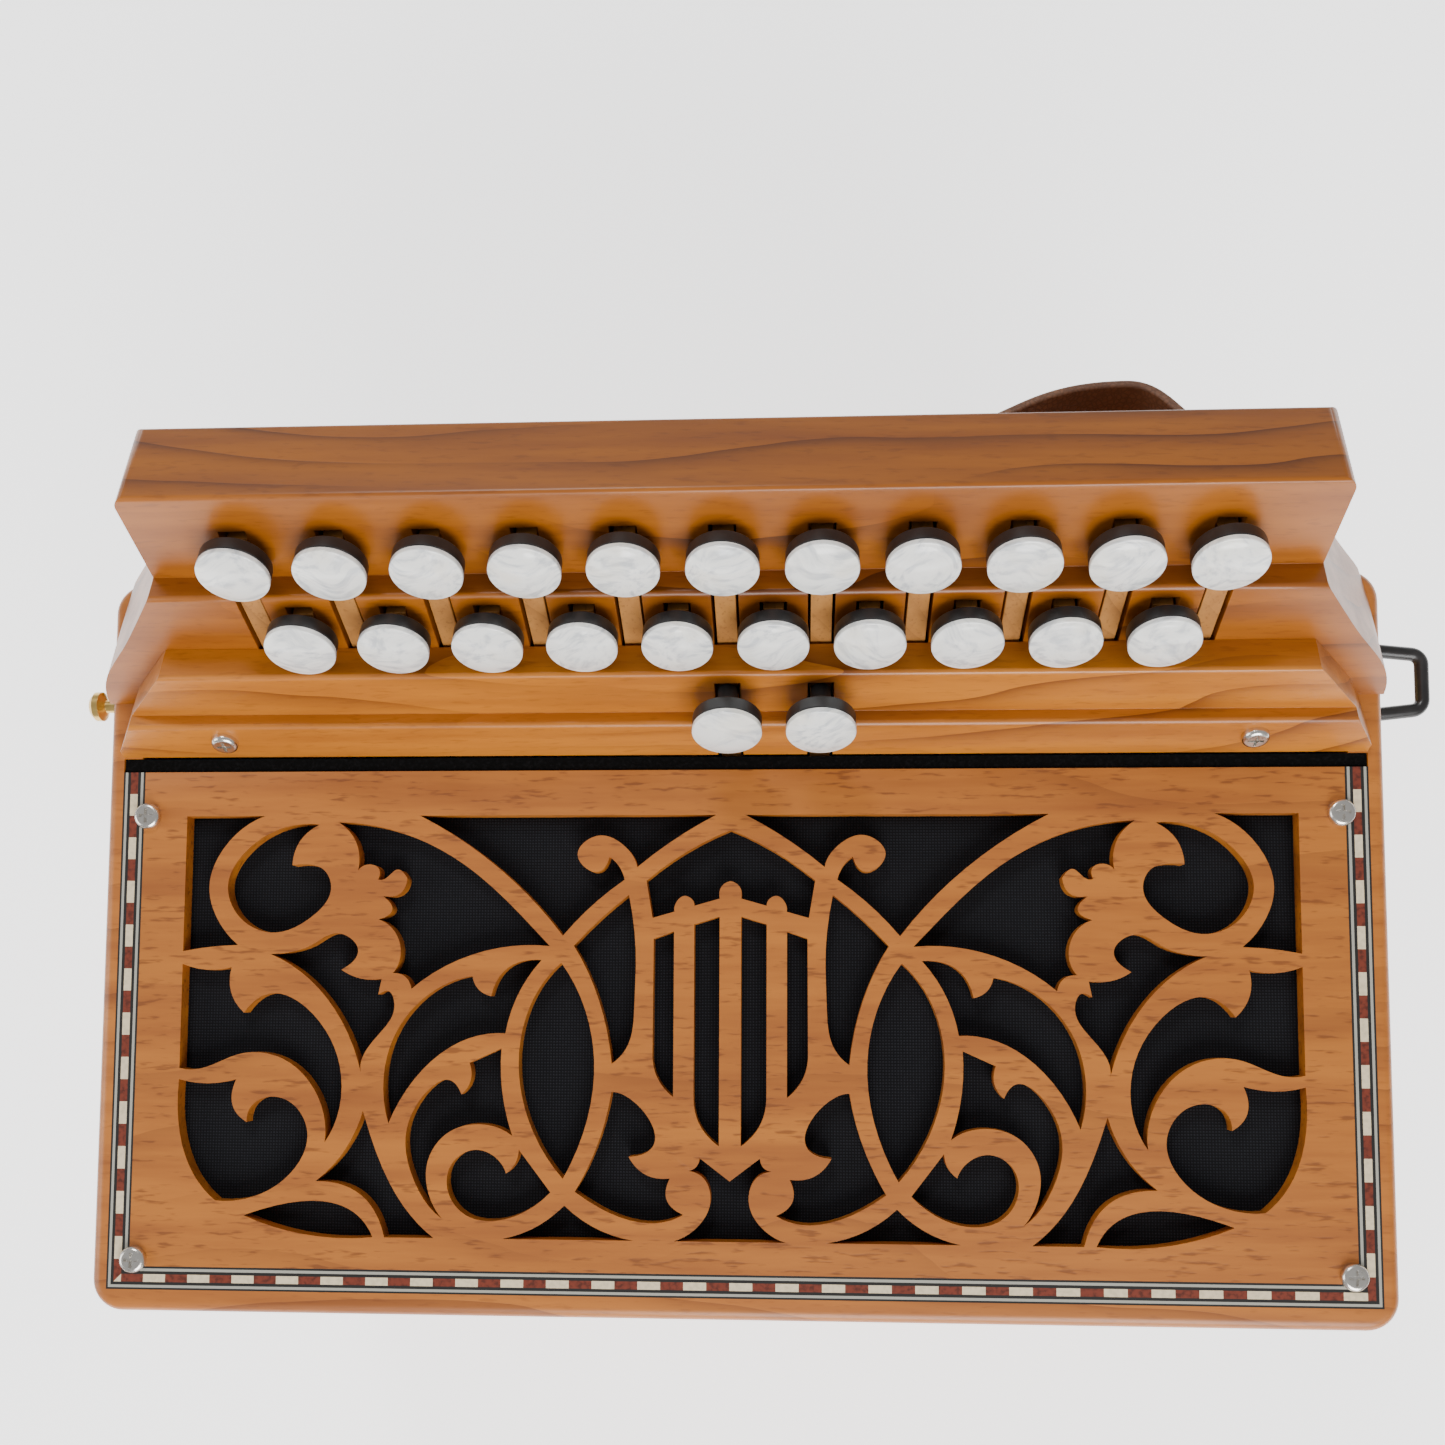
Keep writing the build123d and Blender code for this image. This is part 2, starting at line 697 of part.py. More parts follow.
board_top_u = tread_1_u + tread_1_len
with BuildPart() as keyboard_board:
    with BuildSketch(Plane.YZ) as board_side:
        with BuildLine():
            Polyline(
                on_board(0, 0),
                on_board(board_top_u, 0),
                on_board(board_top_u, tread_1_w),
                on_board(tread_1_u, tread_1_w),
                on_board(tread_1_u, tread_2_w),
                on_board(rim_u(tread_2_w), tread_2_w),
                close=True,
            )
        make_face()
        round_arrises(
            board_side.sketch_local,
            on_board(board_top_u, 0),
            on_board(board_top_u, tread_1_w),
            on_board(tread_1_u, tread_2_w),
        )
    extrude(amount=half_w, both=True)
    with BuildSketch(board_plane):
        with BuildLine():
            corner_x = board_half_w - board_corner_r
            corner = JernArc((corner_x, board_top_u), (1, 0), board_corner_r, -90)
            shoulder = Line(corner @ 1, (board_half_w, tread_1_u))
            flare = Spline(
                shoulder @ 1,
                *[(board_half_w + out, tread_1_u - down) for out, down in board_flare],
                (half_w, rim_u(tread_2_w)),
            )
            foot = Line(flare @ 1, (half_w, -cut_reach))
            Polyline(foot @ 1, (0, -cut_reach), (0, board_top_u), (corner_x, board_top_u))
        make_face()
        mirror(about=Plane.YZ)
    extrude(amount=cut_reach, both=True, mode=Mode.INTERSECT)
    add(slots(0, slot_floor_w), mode=Mode.SUBTRACT)
    add(slots(1, slot_floor_w), mode=Mode.SUBTRACT)
    for side in (-1, 1):
        with BuildSketch(board_spot(side * apron_screw_x, -apron_screw_u, apron_w)):
            Circle(screw_shank_r)
        extrude(amount=-screw_length, mode=Mode.SUBTRACT)
write("keyboard_board", keyboard_board.part)

apron_low_u = rim_u(apron_w)
apron_screw_planes = [board_spot(side * apron_screw_x, -apron_screw_u, apron_w) for side in (-1, 1)]
with BuildPart() as keyboard_apron:
    with BuildSketch(Plane.YZ) as apron_side:
        with BuildLine():
            Polyline(
                on_board(tread_2_u, tread_2_w),
                on_board(tread_2_u, tread_3_w),
                on_board(tread_3_u, tread_3_w),
                on_board(tread_3_u, apron_w),
                on_board(apron_low_u, apron_w),
                on_board(rim_u(tread_2_w), tread_2_w),
                close=True,
            )
        make_face()
        round_arrises(
            apron_side.sketch_local, on_board(tread_2_u, tread_3_w), on_board(tread_3_u, apron_w)
        )
    extrude(amount=half_w, both=True)
    with BuildSketch(board_plane):
        with BuildLine():
            Polyline(
                *[(board_half_w + out, tread_2_u - down) for out, down in apron_ends],
                (board_half_w + apron_end_reach, tread_3_u),
                (plate_half_w, tread_3_u - apron_end_drop),
                (plate_half_w, -cut_reach),
                (0, -cut_reach),
                (0, tread_2_u - apron_ends[0][1]),
                close=True,
            )
        make_face()
        mirror(about=Plane.YZ)
    extrude(amount=cut_reach, both=True, mode=Mode.INTERSECT)
    add(slots(2, tread_2_w - 1), mode=Mode.SUBTRACT)
    for plane in apron_screw_planes:
        with BuildSketch(plane):
            Circle(screw_shank_r)
        extrude(amount=-screw_length, mode=Mode.SUBTRACT)
write("keyboard_apron", keyboard_apron.part)

# ---------------------------------------------------------------- keys
hole = axle_r + axle_clearance
short_shift = pitch / 4


def lever_outline(row):
    """Side outline of a long lever: up the board's slot, and along to its pallet."""
    y_pallet = pallet_row_y[row]
    end_u = lever_end_u[row]
    top_w = tread_w[row] - row_sink[row]
    under_w = lever_back_w + lever_depth
    show_w = tread_2_w - lever_sink
    step_u = tread_2_u - lever_step_gap
    front_u = (z_arm - z_rim - under_w * run) / rise
    points = [on_board(end_u, top_w), on_board(end_u, lever_back_w)]
    points += [on_board(-lever_foot_u, lever_back_w), (axle[0] + 1, z_arm - arm_t - 2)]
    points += [(axle[0] - arm_post_half, z_arm - arm_t)]
    points += [(y_pallet + arm_post_half, z_arm - arm_t), (y_pallet + arm_post_half, z_pallet)]
    points += [(y_pallet - arm_post_half, z_pallet), (y_pallet - arm_post_half, z_arm)]
    points += [on_board(front_u, under_w), on_board(step_u, under_w), on_board(step_u, show_w)]
    if row == 0:
        points += [on_board(tread_1_u - tread_gap, show_w), on_board(tread_1_u - tread_gap, top_w)]
    return points


def short_lever(x):
    """Lever of the short third row, over the others, with an arm set between two of them."""
    y_axle, z_axle = short_axle
    back_w = tread_3_w - short_lever_t
    arm_x = x + short_shift
    y_pallet = pallet_row_y[2]
    points = [
        on_board(lever_end_u[2], tread_3_w - row_sink[2]),
        on_board(lever_end_u[2], back_w),
        on_board(-short_lever_foot_u, back_w),
        (y_axle + short_boss, z_axle),
        (y_axle, z_axle - short_boss),
        (y_axle - short_boss, z_axle),
        on_board(-short_lever_foot_u, apron_w - short_lever_sink),
        on_board(tread_3_u - tread_gap, apron_w - short_lever_sink),
        on_board(tread_3_u - tread_gap, tread_3_w - row_sink[2]),
    ]
    arm_points = [
        (y_axle + short_arm_half, z_axle),
        (y_axle - short_arm_half, z_axle),
        (y_axle - short_arm_half, z_arm),
        (y_pallet - arm_post_half, z_arm),
        (y_pallet - arm_post_half, z_pallet),
        (y_pallet + arm_post_half, z_pallet),
        (y_pallet + arm_post_half, z_arm - arm_t),
        (y_axle + short_arm_half, z_arm - arm_t),
    ]
    with BuildPart() as lever:
        add(yz_plate(points, x, lever_w))
        add(yz_plate(arm_points, arm_x, short_arm_w))
        with Locations(((x + arm_x) / 2, y_axle, z_axle)):
            Box(short_shift + short_arm_w, 2 * short_arm_half, short_bridge_h)
        with Locations(Location((x, y_axle, z_axle), (0, 90, 0))):
            Cylinder(hole, 2 * pitch, mode=Mode.SUBTRACT)
    return lever.part


def pallet(x, y, length):
    """Wooden pallet and its felt, on the sound board's hole."""
    pieces = []
    for z, thickness in (
        (z_sound_board + pallet_felt_t, pallet_wood_t),
        (z_sound_board, pallet_felt_t),
    ):
        with BuildPart() as piece:
            with BuildSketch(Plane.XY.offset(z)):
                with Locations((x, y)):
                    Rectangle(pallet_w, length)
            extrude(amount=thickness)
        pieces.append(piece.part)
    return pieces


def button(row, x):
    """Black base with its neck, and the pearl on it."""
    neck = row_lift[row] + row_sink[row]
    base = board_spot(x, button_u[row], tread_w[row] - row_sink[row])
    rings = [(0, 0), (lever_w / 2, 0), (lever_w / 2, neck), (button_r, neck)]
    rings += [(button_r, neck + button_base_t), (0, neck + button_base_t)]
    cap = base.offset(neck + button_base_t)
    return [turned(base, rings), pearl(cap, button_r, pearl_edge_t, pearl_crown)]


number = 0
for row, xs in enumerate(row_x):
    for x in xs:
        number += 1
        if row < 2:
            lever = yz_plate(lever_outline(row), x, lever_w, [(*axle, hole)])
            arm_x, length = x, pallet_len
        else:
            lever = short_lever(x)
            arm_x, length = x + short_shift, short_pallet_len
        pieces = [lever, *button(row, x), *pallet(arm_x, pallet_row_y[row], length)]
        write(f"treble_key_{number:02d}", *pieces)


def rod(x0, x1, y, z, radius=axle_r):
    """A round rod along X."""
    with BuildPart() as piece:
        with BuildSketch(Plane.YZ.offset(x0)):
            with Locations((y, z)):
                Circle(radius)
        extrude(amount=x1 - x0)
    return piece.part


axle_end = row_x[0][-1] + axle_overhang
short_axle_x = (-short_shift - short_axle_overhang, 1.6 * pitch + short_axle_overhang)
bracket_x = [side * offset for offset in (pitch / 4, 2.75 * pitch, axle_end - 2) for side in (-1, 1)]
hanger_x = (-short_shift, 0.6 * pitch, 1.6 * pitch)
stand = [
    (axle[0] - bracket_top_half, axle[1] + bracket_top_half),
    (axle[0] - bracket_foot_half, z_sound_board),
    (axle[0] + bracket_foot_half, z_sound_board),
    (axle[0] + bracket_top_half, axle[1] + bracket_top_half),
]
hanger = [
    (short_axle[0] - hanger_half, z_rim),
    (short_axle[0] - hanger_half, short_axle[1] - hanger_half),
    (short_axle[0] + hanger_half, short_axle[1] - hanger_half),
    (short_axle[0] + hanger_half, z_rim),
]
stands = [yz_plate(stand, x, bracket_t, [(*axle, hole)]) for x in bracket_x]
hangers = [yz_plate(hanger, x, bracket_t, [(*short_axle, hole)]) for x in hanger_x]
rods = [rod(-axle_end, axle_end, *axle), rod(*short_axle_x, *short_axle)]
write("key_axles", *rods, *stands, *hangers)


def spring(x, y, z):
    """A coil around the axle, closed into a sleeve, beside its lever."""
    with BuildPart() as piece:
        with BuildSketch(Plane.YZ.offset(x)):
            with Locations((y, z)):
                Circle(axle_r + spring_t)
                Circle(hole, mode=Mode.SUBTRACT)
        extrude(amount=spring_w)
    return piece.part


beside = lever_w / 2 + spring_gap
springs = [spring(x + beside, *axle) for x in row_x[0] + row_x[1]]
springs += [spring(x - beside - spring_w, *short_axle) for x in row_x[2]]
write("key_springs", *springs)

# ---------------------------------------------------------------- treble sound board and reeds
pallet_x = (row_x[0], row_x[1], [x + short_shift for x in row_x[2]])
with BuildPart() as pallet_board:
    with BuildSketch(Plane.XY.offset(z_sound_board - sound_board_t)):
        Rectangle(inner_w, inner_d)
        for xs, y, length in zip(pallet_x, pallet_row_y, pallet_hole_len):
            with Locations(*[(x, y) for x in xs]):
                Rectangle(pallet_hole_w, length, mode=Mode.SUBTRACT)
    extrude(amount=sound_board_t)
write("pallet_board", pallet_board.part)


def reed_block(xs, y, z_root, height, direction, width, foot):
    """A block with one chamber for each note, and reed plates on its two sloping sides."""
    half = (xs[-1] - xs[0]) / 2 + reed_block_end
    middle = (xs[-1] + xs[0]) / 2
    z_foot = z_root + direction * height
    outline = [
        (y - width / 2, z_root), (y + width / 2, z_root),
        (y + foot / 2, z_foot), (y - foot / 2, z_foot),
    ]
    with BuildPart() as block:
        add(yz_plate(outline, middle, 2 * half))
        with BuildSketch(Plane.XY.offset(z_root)):
            with Locations(*[(x, y) for x in xs]):
                Rectangle(reed_chamber_w, foot - reed_chamber_gap)
        extrude(amount=direction * (height - reed_chamber_floor), mode=Mode.SUBTRACT)
    pieces = [block.part]
    slant = (width - foot) / 2 / height
    near = reed_plate_ends[0]
    far = height - reed_plate_ends[1]
    for x in xs:
        for side in (-1, 1):
            edge = [
                (y + side * (width / 2 - slant * near), z_root + direction * near),
                (y + side * (width / 2 - slant * far), z_root + direction * far),
            ]
            edge += [(edge[1][0] + side * reed_plate_t, edge[1][1])]
            edge += [(edge[0][0] + side * reed_plate_t, edge[0][1])]
            pieces.append(yz_plate(edge, x, reed_plate_w))
    return pieces


treble_reed_h = z_sound_board - sound_board_t - z_bellows_top
treble_reeds = []
for xs, y, width in zip(pallet_x, pallet_row_y, (reed_block_w, reed_block_w, short_block_w)):
    treble_reeds += reed_block(
        xs, y, z_sound_board - sound_board_t, treble_reed_h, -1, width, treble_foot_w
    )
write("treble_reed_blocks", *treble_reeds)

# ---------------------------------------------------------------- bass end
notch_w = bass_notch_x[1] - bass_notch_x[0]
notch_mid = sum(bass_notch_x) / 2
notch_y = half_d - bass_notch
notch_z = z_bass + bass_notch
lean = bass_board_t * math.sqrt(2)
air_z = z_bass_top - air_drop
cheek = [
    (notch_y - lean, z_panel), (half_d - wall, z_panel),
    (half_d - wall, z_bass + bass_board_z), (half_d - wall - cheek_t, z_bass + bass_board_z),
]
screw_y = half_d - panel_screw_inset
panel_screws = [(sx * grille_screw_x, sy * screw_y) for sx in (-1, 1) for sy in (-1, 1)]

with BuildPart() as bass_case:
    with BuildSketch(Plane.XY.offset(z_bass)):
        RectangleRounded(case_w, case_d, corner_r)
    extrude(amount=bass_case_h)
    fillet(bass_case.faces().sort_by(Axis.Z)[0].edges(), edge_round)
    with BuildSketch(Plane.XY.offset(z_bass)):
        Rectangle(inner_w, inner_d)
    extrude(amount=bass_case_h, mode=Mode.SUBTRACT)
    with BuildSketch(Plane.XY.offset(z_bass)):
        Rectangle(2 * plate_half_w, case_d - 2 * plate_margin)
    extrude(amount=panel_t, mode=Mode.SUBTRACT)
    with BuildSketch(Plane.XY.offset(z_panel)):
        with Locations(*[(x - math.copysign(panel_block_shift, x), y) for x, y in panel_screws]):
            Rectangle(*panel_block)
    extrude(amount=panel_block_h)
    add(screw_holes(panel_screws, z_bass), mode=Mode.SUBTRACT)
    with BuildSketch(Plane.XZ.offset(-half_d)):
        with Locations((notch_mid, z_bass + bass_notch / 2)):
            Rectangle(notch_w, bass_notch)
    extrude(amount=wall, mode=Mode.SUBTRACT)
    for x in (bass_notch_x[0] - cheek_t / 2, bass_notch_x[1] + cheek_t / 2):
        add(yz_plate(cheek, x, cheek_t))
    with BuildSketch(Plane.XZ.offset(-half_d)):
        with Locations((air_x, air_z)):
            Circle(bass_stem_r + bass_stem_clearance)
            with PolarLocations(air_ring_r, 6):
                Circle(air_hole_r)
    extrude(amount=wall, mode=Mode.SUBTRACT)
write("bass_case", bass_case.part)

with BuildPart() as bass_end_panel:
    with BuildSketch(Plane.XY.offset(z_bass)):
        Rectangle(2 * plate_half_w, case_d - 2 * plate_margin)
        with Locations((notch_mid, notch_y + bass_notch / 2)):
            Rectangle(notch_w, bass_notch, mode=Mode.SUBTRACT)
        with Locations((-panel_oval_x, panel_oval_y), (panel_oval_x, panel_oval_y)):
            Ellipse(*panel_oval, mode=Mode.SUBTRACT)
            Ellipse(*panel_leaf)
            Rectangle(*panel_bar)
        with Locations(*panel_screws):
            Circle(screw_shank_r, mode=Mode.SUBTRACT)
    extrude(amount=panel_t)
    with BuildSketch(Plane.XY.offset(z_bass)):
        Circle(rosette_r)
    extrude(amount=-rosette_t)
write("bass_end_panel", bass_end_panel.part)

bass_face = Plane(
    origin=(notch_mid, notch_y, z_bass), x_dir=(1, 0, 0), z_dir=(0, math.sqrt(0.5), -math.sqrt(0.5))
)
bass_places = [
    bass_face.origin - bass_face.y_dir * t + bass_face.x_dir * bass_pitch * (i - 1.5)
    for t in bass_row_t
    for i in range(4)
]
with BuildPart() as bass_button_board:
    add(
        yz_plate(
            [
                (half_d, notch_z), (notch_y, z_bass), (notch_y, z_panel),
                (notch_y - lean + panel_t, z_panel), (half_d - wall, notch_z - wall + lean),
                (half_d - wall, notch_z),
            ],
            notch_mid, notch_w,
        )
    )
    for place in bass_places:
        with BuildSketch(Plane(origin=place, x_dir=(1, 0, 0), z_dir=bass_face.z_dir)):
            Circle(bass_stem_r + bass_stem_clearance)
        extrude(amount=2 * lean, both=True, mode=Mode.SUBTRACT)
write("bass_button_board", bass_button_board.part)

for number, place in enumerate(bass_places, start=1):
    inner = Plane(
        origin=place - bass_face.z_dir * (bass_board_t + bass_stem_inside),
        x_dir=(1, 0, 0),
        z_dir=bass_face.z_dir,
    )
    stem_top = bass_board_t + bass_stem_inside + bass_travel + press_gap
    base_top = stem_top + bass_base_t
    felt_top = bass_flange_t + bass_felt_t
    outline = [
        (0, 0), (bass_flange_r, 0), (bass_flange_r, bass_flange_t), (bass_stem_r, bass_flange_t),
        (bass_stem_r, stem_top), (bass_button_r, stem_top), (bass_button_r, base_top), (0, base_top),
    ]
    felt = [
        (bass_stem_r, bass_flange_t), (bass_flange_r, bass_flange_t),
        (bass_flange_r, felt_top), (bass_stem_r, felt_top),
    ]
    cap = pearl(inner.offset(base_top), bass_button_r, bass_pearl_edge, bass_pearl_crown)
    write(f"bass_button_{number}", turned(inner, outline), turned(inner, felt), cap)

air_inside = air_disc_t + air_felt_t
air_plane = Plane(
    origin=(air_x, half_d - wall - air_inside, air_z), x_dir=(1, 0, 0), z_dir=(0, 1, 0)
)
air_top = air_inside + wall + air_travel + air_gap
air_disc_r = air_ring_r + air_hole_r + air_disc_margin
air_stem = [
    (0, 0), (air_disc_r, 0), (air_disc_r, air_disc_t), (bass_stem_r, air_disc_t),
    (bass_stem_r, air_top), (air_cap_r, air_top), (air_cap_r, air_top + air_cap_t - air_cap_round),
    (air_cap_r - air_cap_round, air_top + air_cap_t), (0, air_top + air_cap_t),
]
air_felt = [
    (bass_stem_r, air_disc_t), (air_disc_r, air_disc_t),
    (air_disc_r, air_inside), (bass_stem_r, air_inside),
]
write("air_button", turned(air_plane, air_stem), turned(air_plane, air_felt))

bass_row_x = [bass_reed_pitch * (i - 2.5) for i in range(6)]
with BuildPart() as bass_sound_board:
    with BuildSketch(Plane.XY.offset(z_bass + bass_board_z)):
        Rectangle(inner_w, inner_d)
        with Locations(*[(x, y) for x in bass_row_x for y in bass_row_y]):
            Rectangle(*bass_hole, mode=Mode.SUBTRACT)
    extrude(amount=sound_board_t)
write("bass_sound_board", bass_sound_board.part)

bass_reeds = []
for y in bass_row_y:
    bass_reeds += reed_block(
        bass_row_x, y, z_bass + bass_board_z + sound_board_t, bass_reed_h, 1, bass_block_w, bass_foot_w
    )
write("bass_reed_blocks", *bass_reeds)

# ---------------------------------------------------------------- straps
strap_y = half_d + strap_t / 2
strap_mid = sum(strap_x) / 2
strap_z = z_bass + bass_case_h / 2
with BuildPart() as bass_strap:
    with BuildSketch(Plane.XY.offset(strap_z - strap_w / 2)):
        with BuildLine() as strap_line:
            Line((strap_x[0], strap_y), (strap_x[0] + strap_foot, strap_y))
            for foot_x, pull in ((strap_x[0] + strap_foot, 1), (strap_x[1] - strap_foot, -1)):
                Bezier(
                    (foot_x, strap_y),
                    (foot_x + pull * strap_ease, strap_y),
                    (strap_mid - pull * strap_ease, strap_y + strap_bow),
                    (strap_mid, strap_y + strap_bow),
                )
            Line((strap_x[1] - strap_foot, strap_y), (strap_x[1], strap_y))
        trace(strap_line.line, strap_t)
    extrude(amount=strap_w)
write("bass_strap", bass_strap.part)

bracket_plates = []
for x in (strap_x[0] + strap_bracket_w / 2, strap_x[1] - strap_bracket_w / 2):
    with BuildPart() as bracket_plate:
        with BuildSketch(Plane.XZ.offset(-(half_d + strap_t + strap_bracket_gap))):
            with Locations((x, strap_z)):
                RectangleRounded(strap_bracket_w, strap_w - 4, strap_bracket_round)
        extrude(amount=-strap_bracket_t)
    bracket_plates.append(bracket_plate.part)
write("bass_strap_brackets", *bracket_plates)

thumb_y = thumb_strap_t / 2
thumb_plane = Plane(
    origin=board_plane.origin + board_plane.y_dir * (thumb_strap_u - thumb_strap_w / 2),
    x_dir=(1, 0, 0), z_dir=board_plane.y_dir,
)
with BuildPart() as thumb_strap:
    with BuildSketch(thumb_plane):
        with BuildLine() as thumb_line:
            Line((thumb_foot[0] - thumb_tab, thumb_y), (thumb_foot[0], thumb_y))
            for foot_x, ease in ((thumb_foot[0], thumb_ease[0]), (thumb_foot[1], -thumb_ease[1])):
                Bezier(
                    (foot_x, thumb_y),
                    (foot_x + ease, thumb_y),
                    (thumb_peak - ease, thumb_strap_bow),
                    (thumb_peak, thumb_strap_bow),
                )
            Line((thumb_foot[1], thumb_y), (thumb_foot[1] + thumb_tab, thumb_y))
        trace(thumb_line.line, thumb_strap_t)
    extrude(amount=thumb_strap_w)
write("thumb_strap", thumb_strap.part)

# ---------------------------------------------------------------- rings, studs, screws, feet
z_ring = z_rim - ring_drop
ring_axis_x = half_w + ring_axis_out
half_ring = ring_w / 2 - ring_wire_r
for name, side, y, hang in (
    ("strap_ring_left", -1, ring_y[0], (0, -ring_reach)),
    ("strap_ring_right", 1, ring_y[1], (ring_reach, 0)),
):
    end_x = side * ring_axis_x + hang[0]
    end_z = z_ring + hang[1]
    with BuildPart() as ring:
        with BuildLine() as path:
            FilletPolyline(
                (side * ring_axis_x, y - half_ring, z_ring),
                (end_x, y - half_ring + ring_splay, end_z),
                (end_x, y + half_ring - ring_splay, end_z),
                (side * ring_axis_x, y + half_ring, z_ring),
                radius=ring_bend,
                close=True,
            )
        with BuildSketch(Plane(origin=path.line @ 0, z_dir=path.line % 0)):
            Circle(ring_wire_r)
        sweep(path=path.line)
    write(name, ring.part)

fittings = []
for side, y in ((-1, ring_y[0]), (1, ring_y[1])):
    with BuildPart() as lug:
        with BuildSketch(Plane.XZ.offset(-y)):
            with Locations((side * (half_w + lug_reach / 2), z_ring)):
                Rectangle(lug_reach, lug_h)
            with Locations((side * ring_axis_x, z_ring)):
                Circle(ring_wire_r + ring_clearance, mode=Mode.SUBTRACT)
        extrude(amount=lug_w / 2, both=True)
        with BuildSketch(Plane.YZ.offset(side * half_w)):
            with Locations((y, z_ring)):
                RectangleRounded(*lug_plate, lug_plate_round)
        extrude(amount=side * lug_plate_t)
    fittings.append(lug.part)
stud_plane = Plane(
    origin=(-half_w, stud_y, z_rim - stud_drop), x_dir=(0, 1, 0), z_dir=(-1, 0, 0)
)
fittings.append(turned(stud_plane, stud_profile))
write("strap_fittings", *fittings)

grille_screws = [screw(Plane(origin=(x, y, z_rim))) for x, y in grille_screw_spots]
apron_screws = [screw(plane) for plane in apron_screw_planes]
write("treble_screws", *grille_screws, *apron_screws)

bass_screws = [
    screw(Plane(origin=(x, y, z_bass), x_dir=(1, 0, 0), z_dir=(0, 0, -1)))
    for x, y in panel_screws
]
write("bass_screws", *bass_screws)

feet = []
for sx in (-1, 1):
    for sy in (-1, 1):
        with BuildPart() as foot_piece:
            with BuildSketch(Plane.XY.offset(z_bass)):
                with Locations((sx * (half_w - foot_inset), sy * (half_d - foot_inset))):
                    Circle(foot_r)
            extrude(amount=-foot_h, taper=foot_taper)
        feet.append(foot_piece.part)
write("feet", *feet)
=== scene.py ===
"""A wooden button accordion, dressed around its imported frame: woods, pearl buttons, cloth,
felt, leather and the pleated bellows. Lengths are in metres, in the frame's own axes."""

import logging
import math
from dataclasses import dataclass, field
from enum import Enum

import bmesh
import bpy
from mathutils import Euler, Matrix, Vector


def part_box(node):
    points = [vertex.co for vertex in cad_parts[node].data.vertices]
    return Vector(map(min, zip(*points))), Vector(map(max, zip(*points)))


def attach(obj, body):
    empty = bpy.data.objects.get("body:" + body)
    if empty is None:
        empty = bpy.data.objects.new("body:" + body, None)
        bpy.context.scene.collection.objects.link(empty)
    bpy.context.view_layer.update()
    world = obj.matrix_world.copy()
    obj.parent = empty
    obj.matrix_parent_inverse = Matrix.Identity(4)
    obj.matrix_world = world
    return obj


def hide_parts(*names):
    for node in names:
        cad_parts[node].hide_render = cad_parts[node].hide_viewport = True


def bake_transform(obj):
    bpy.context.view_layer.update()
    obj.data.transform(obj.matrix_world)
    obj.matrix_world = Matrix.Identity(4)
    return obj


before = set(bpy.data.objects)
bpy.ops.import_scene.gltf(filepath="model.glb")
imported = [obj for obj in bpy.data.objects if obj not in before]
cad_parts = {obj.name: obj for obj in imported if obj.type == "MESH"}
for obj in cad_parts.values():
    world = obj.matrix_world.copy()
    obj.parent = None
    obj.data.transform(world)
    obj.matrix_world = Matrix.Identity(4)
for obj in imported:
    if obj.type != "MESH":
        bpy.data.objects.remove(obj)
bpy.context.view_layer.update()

MM = 0.001
SMOOTH_ANGLE = math.radians(32)
LOG = logging.getLogger("accordion")
Colour = tuple[float, float, float]
Triple = tuple[float, float, float]


class Part(Enum):
    """The separate lumps of one treble key."""

    BASE = "base"
    LEVER = "lever"
    PALLET = "pallet"


class GrainAxis(Enum):
    """The way a board's grain runs, as the turn that brings it onto X."""

    ALONG_X = (0.0, 0.0, 0.0)
    ALONG_Y = (0.0, 0.0, math.pi / 2)


# ------------------------------------------------------------------ shader helpers


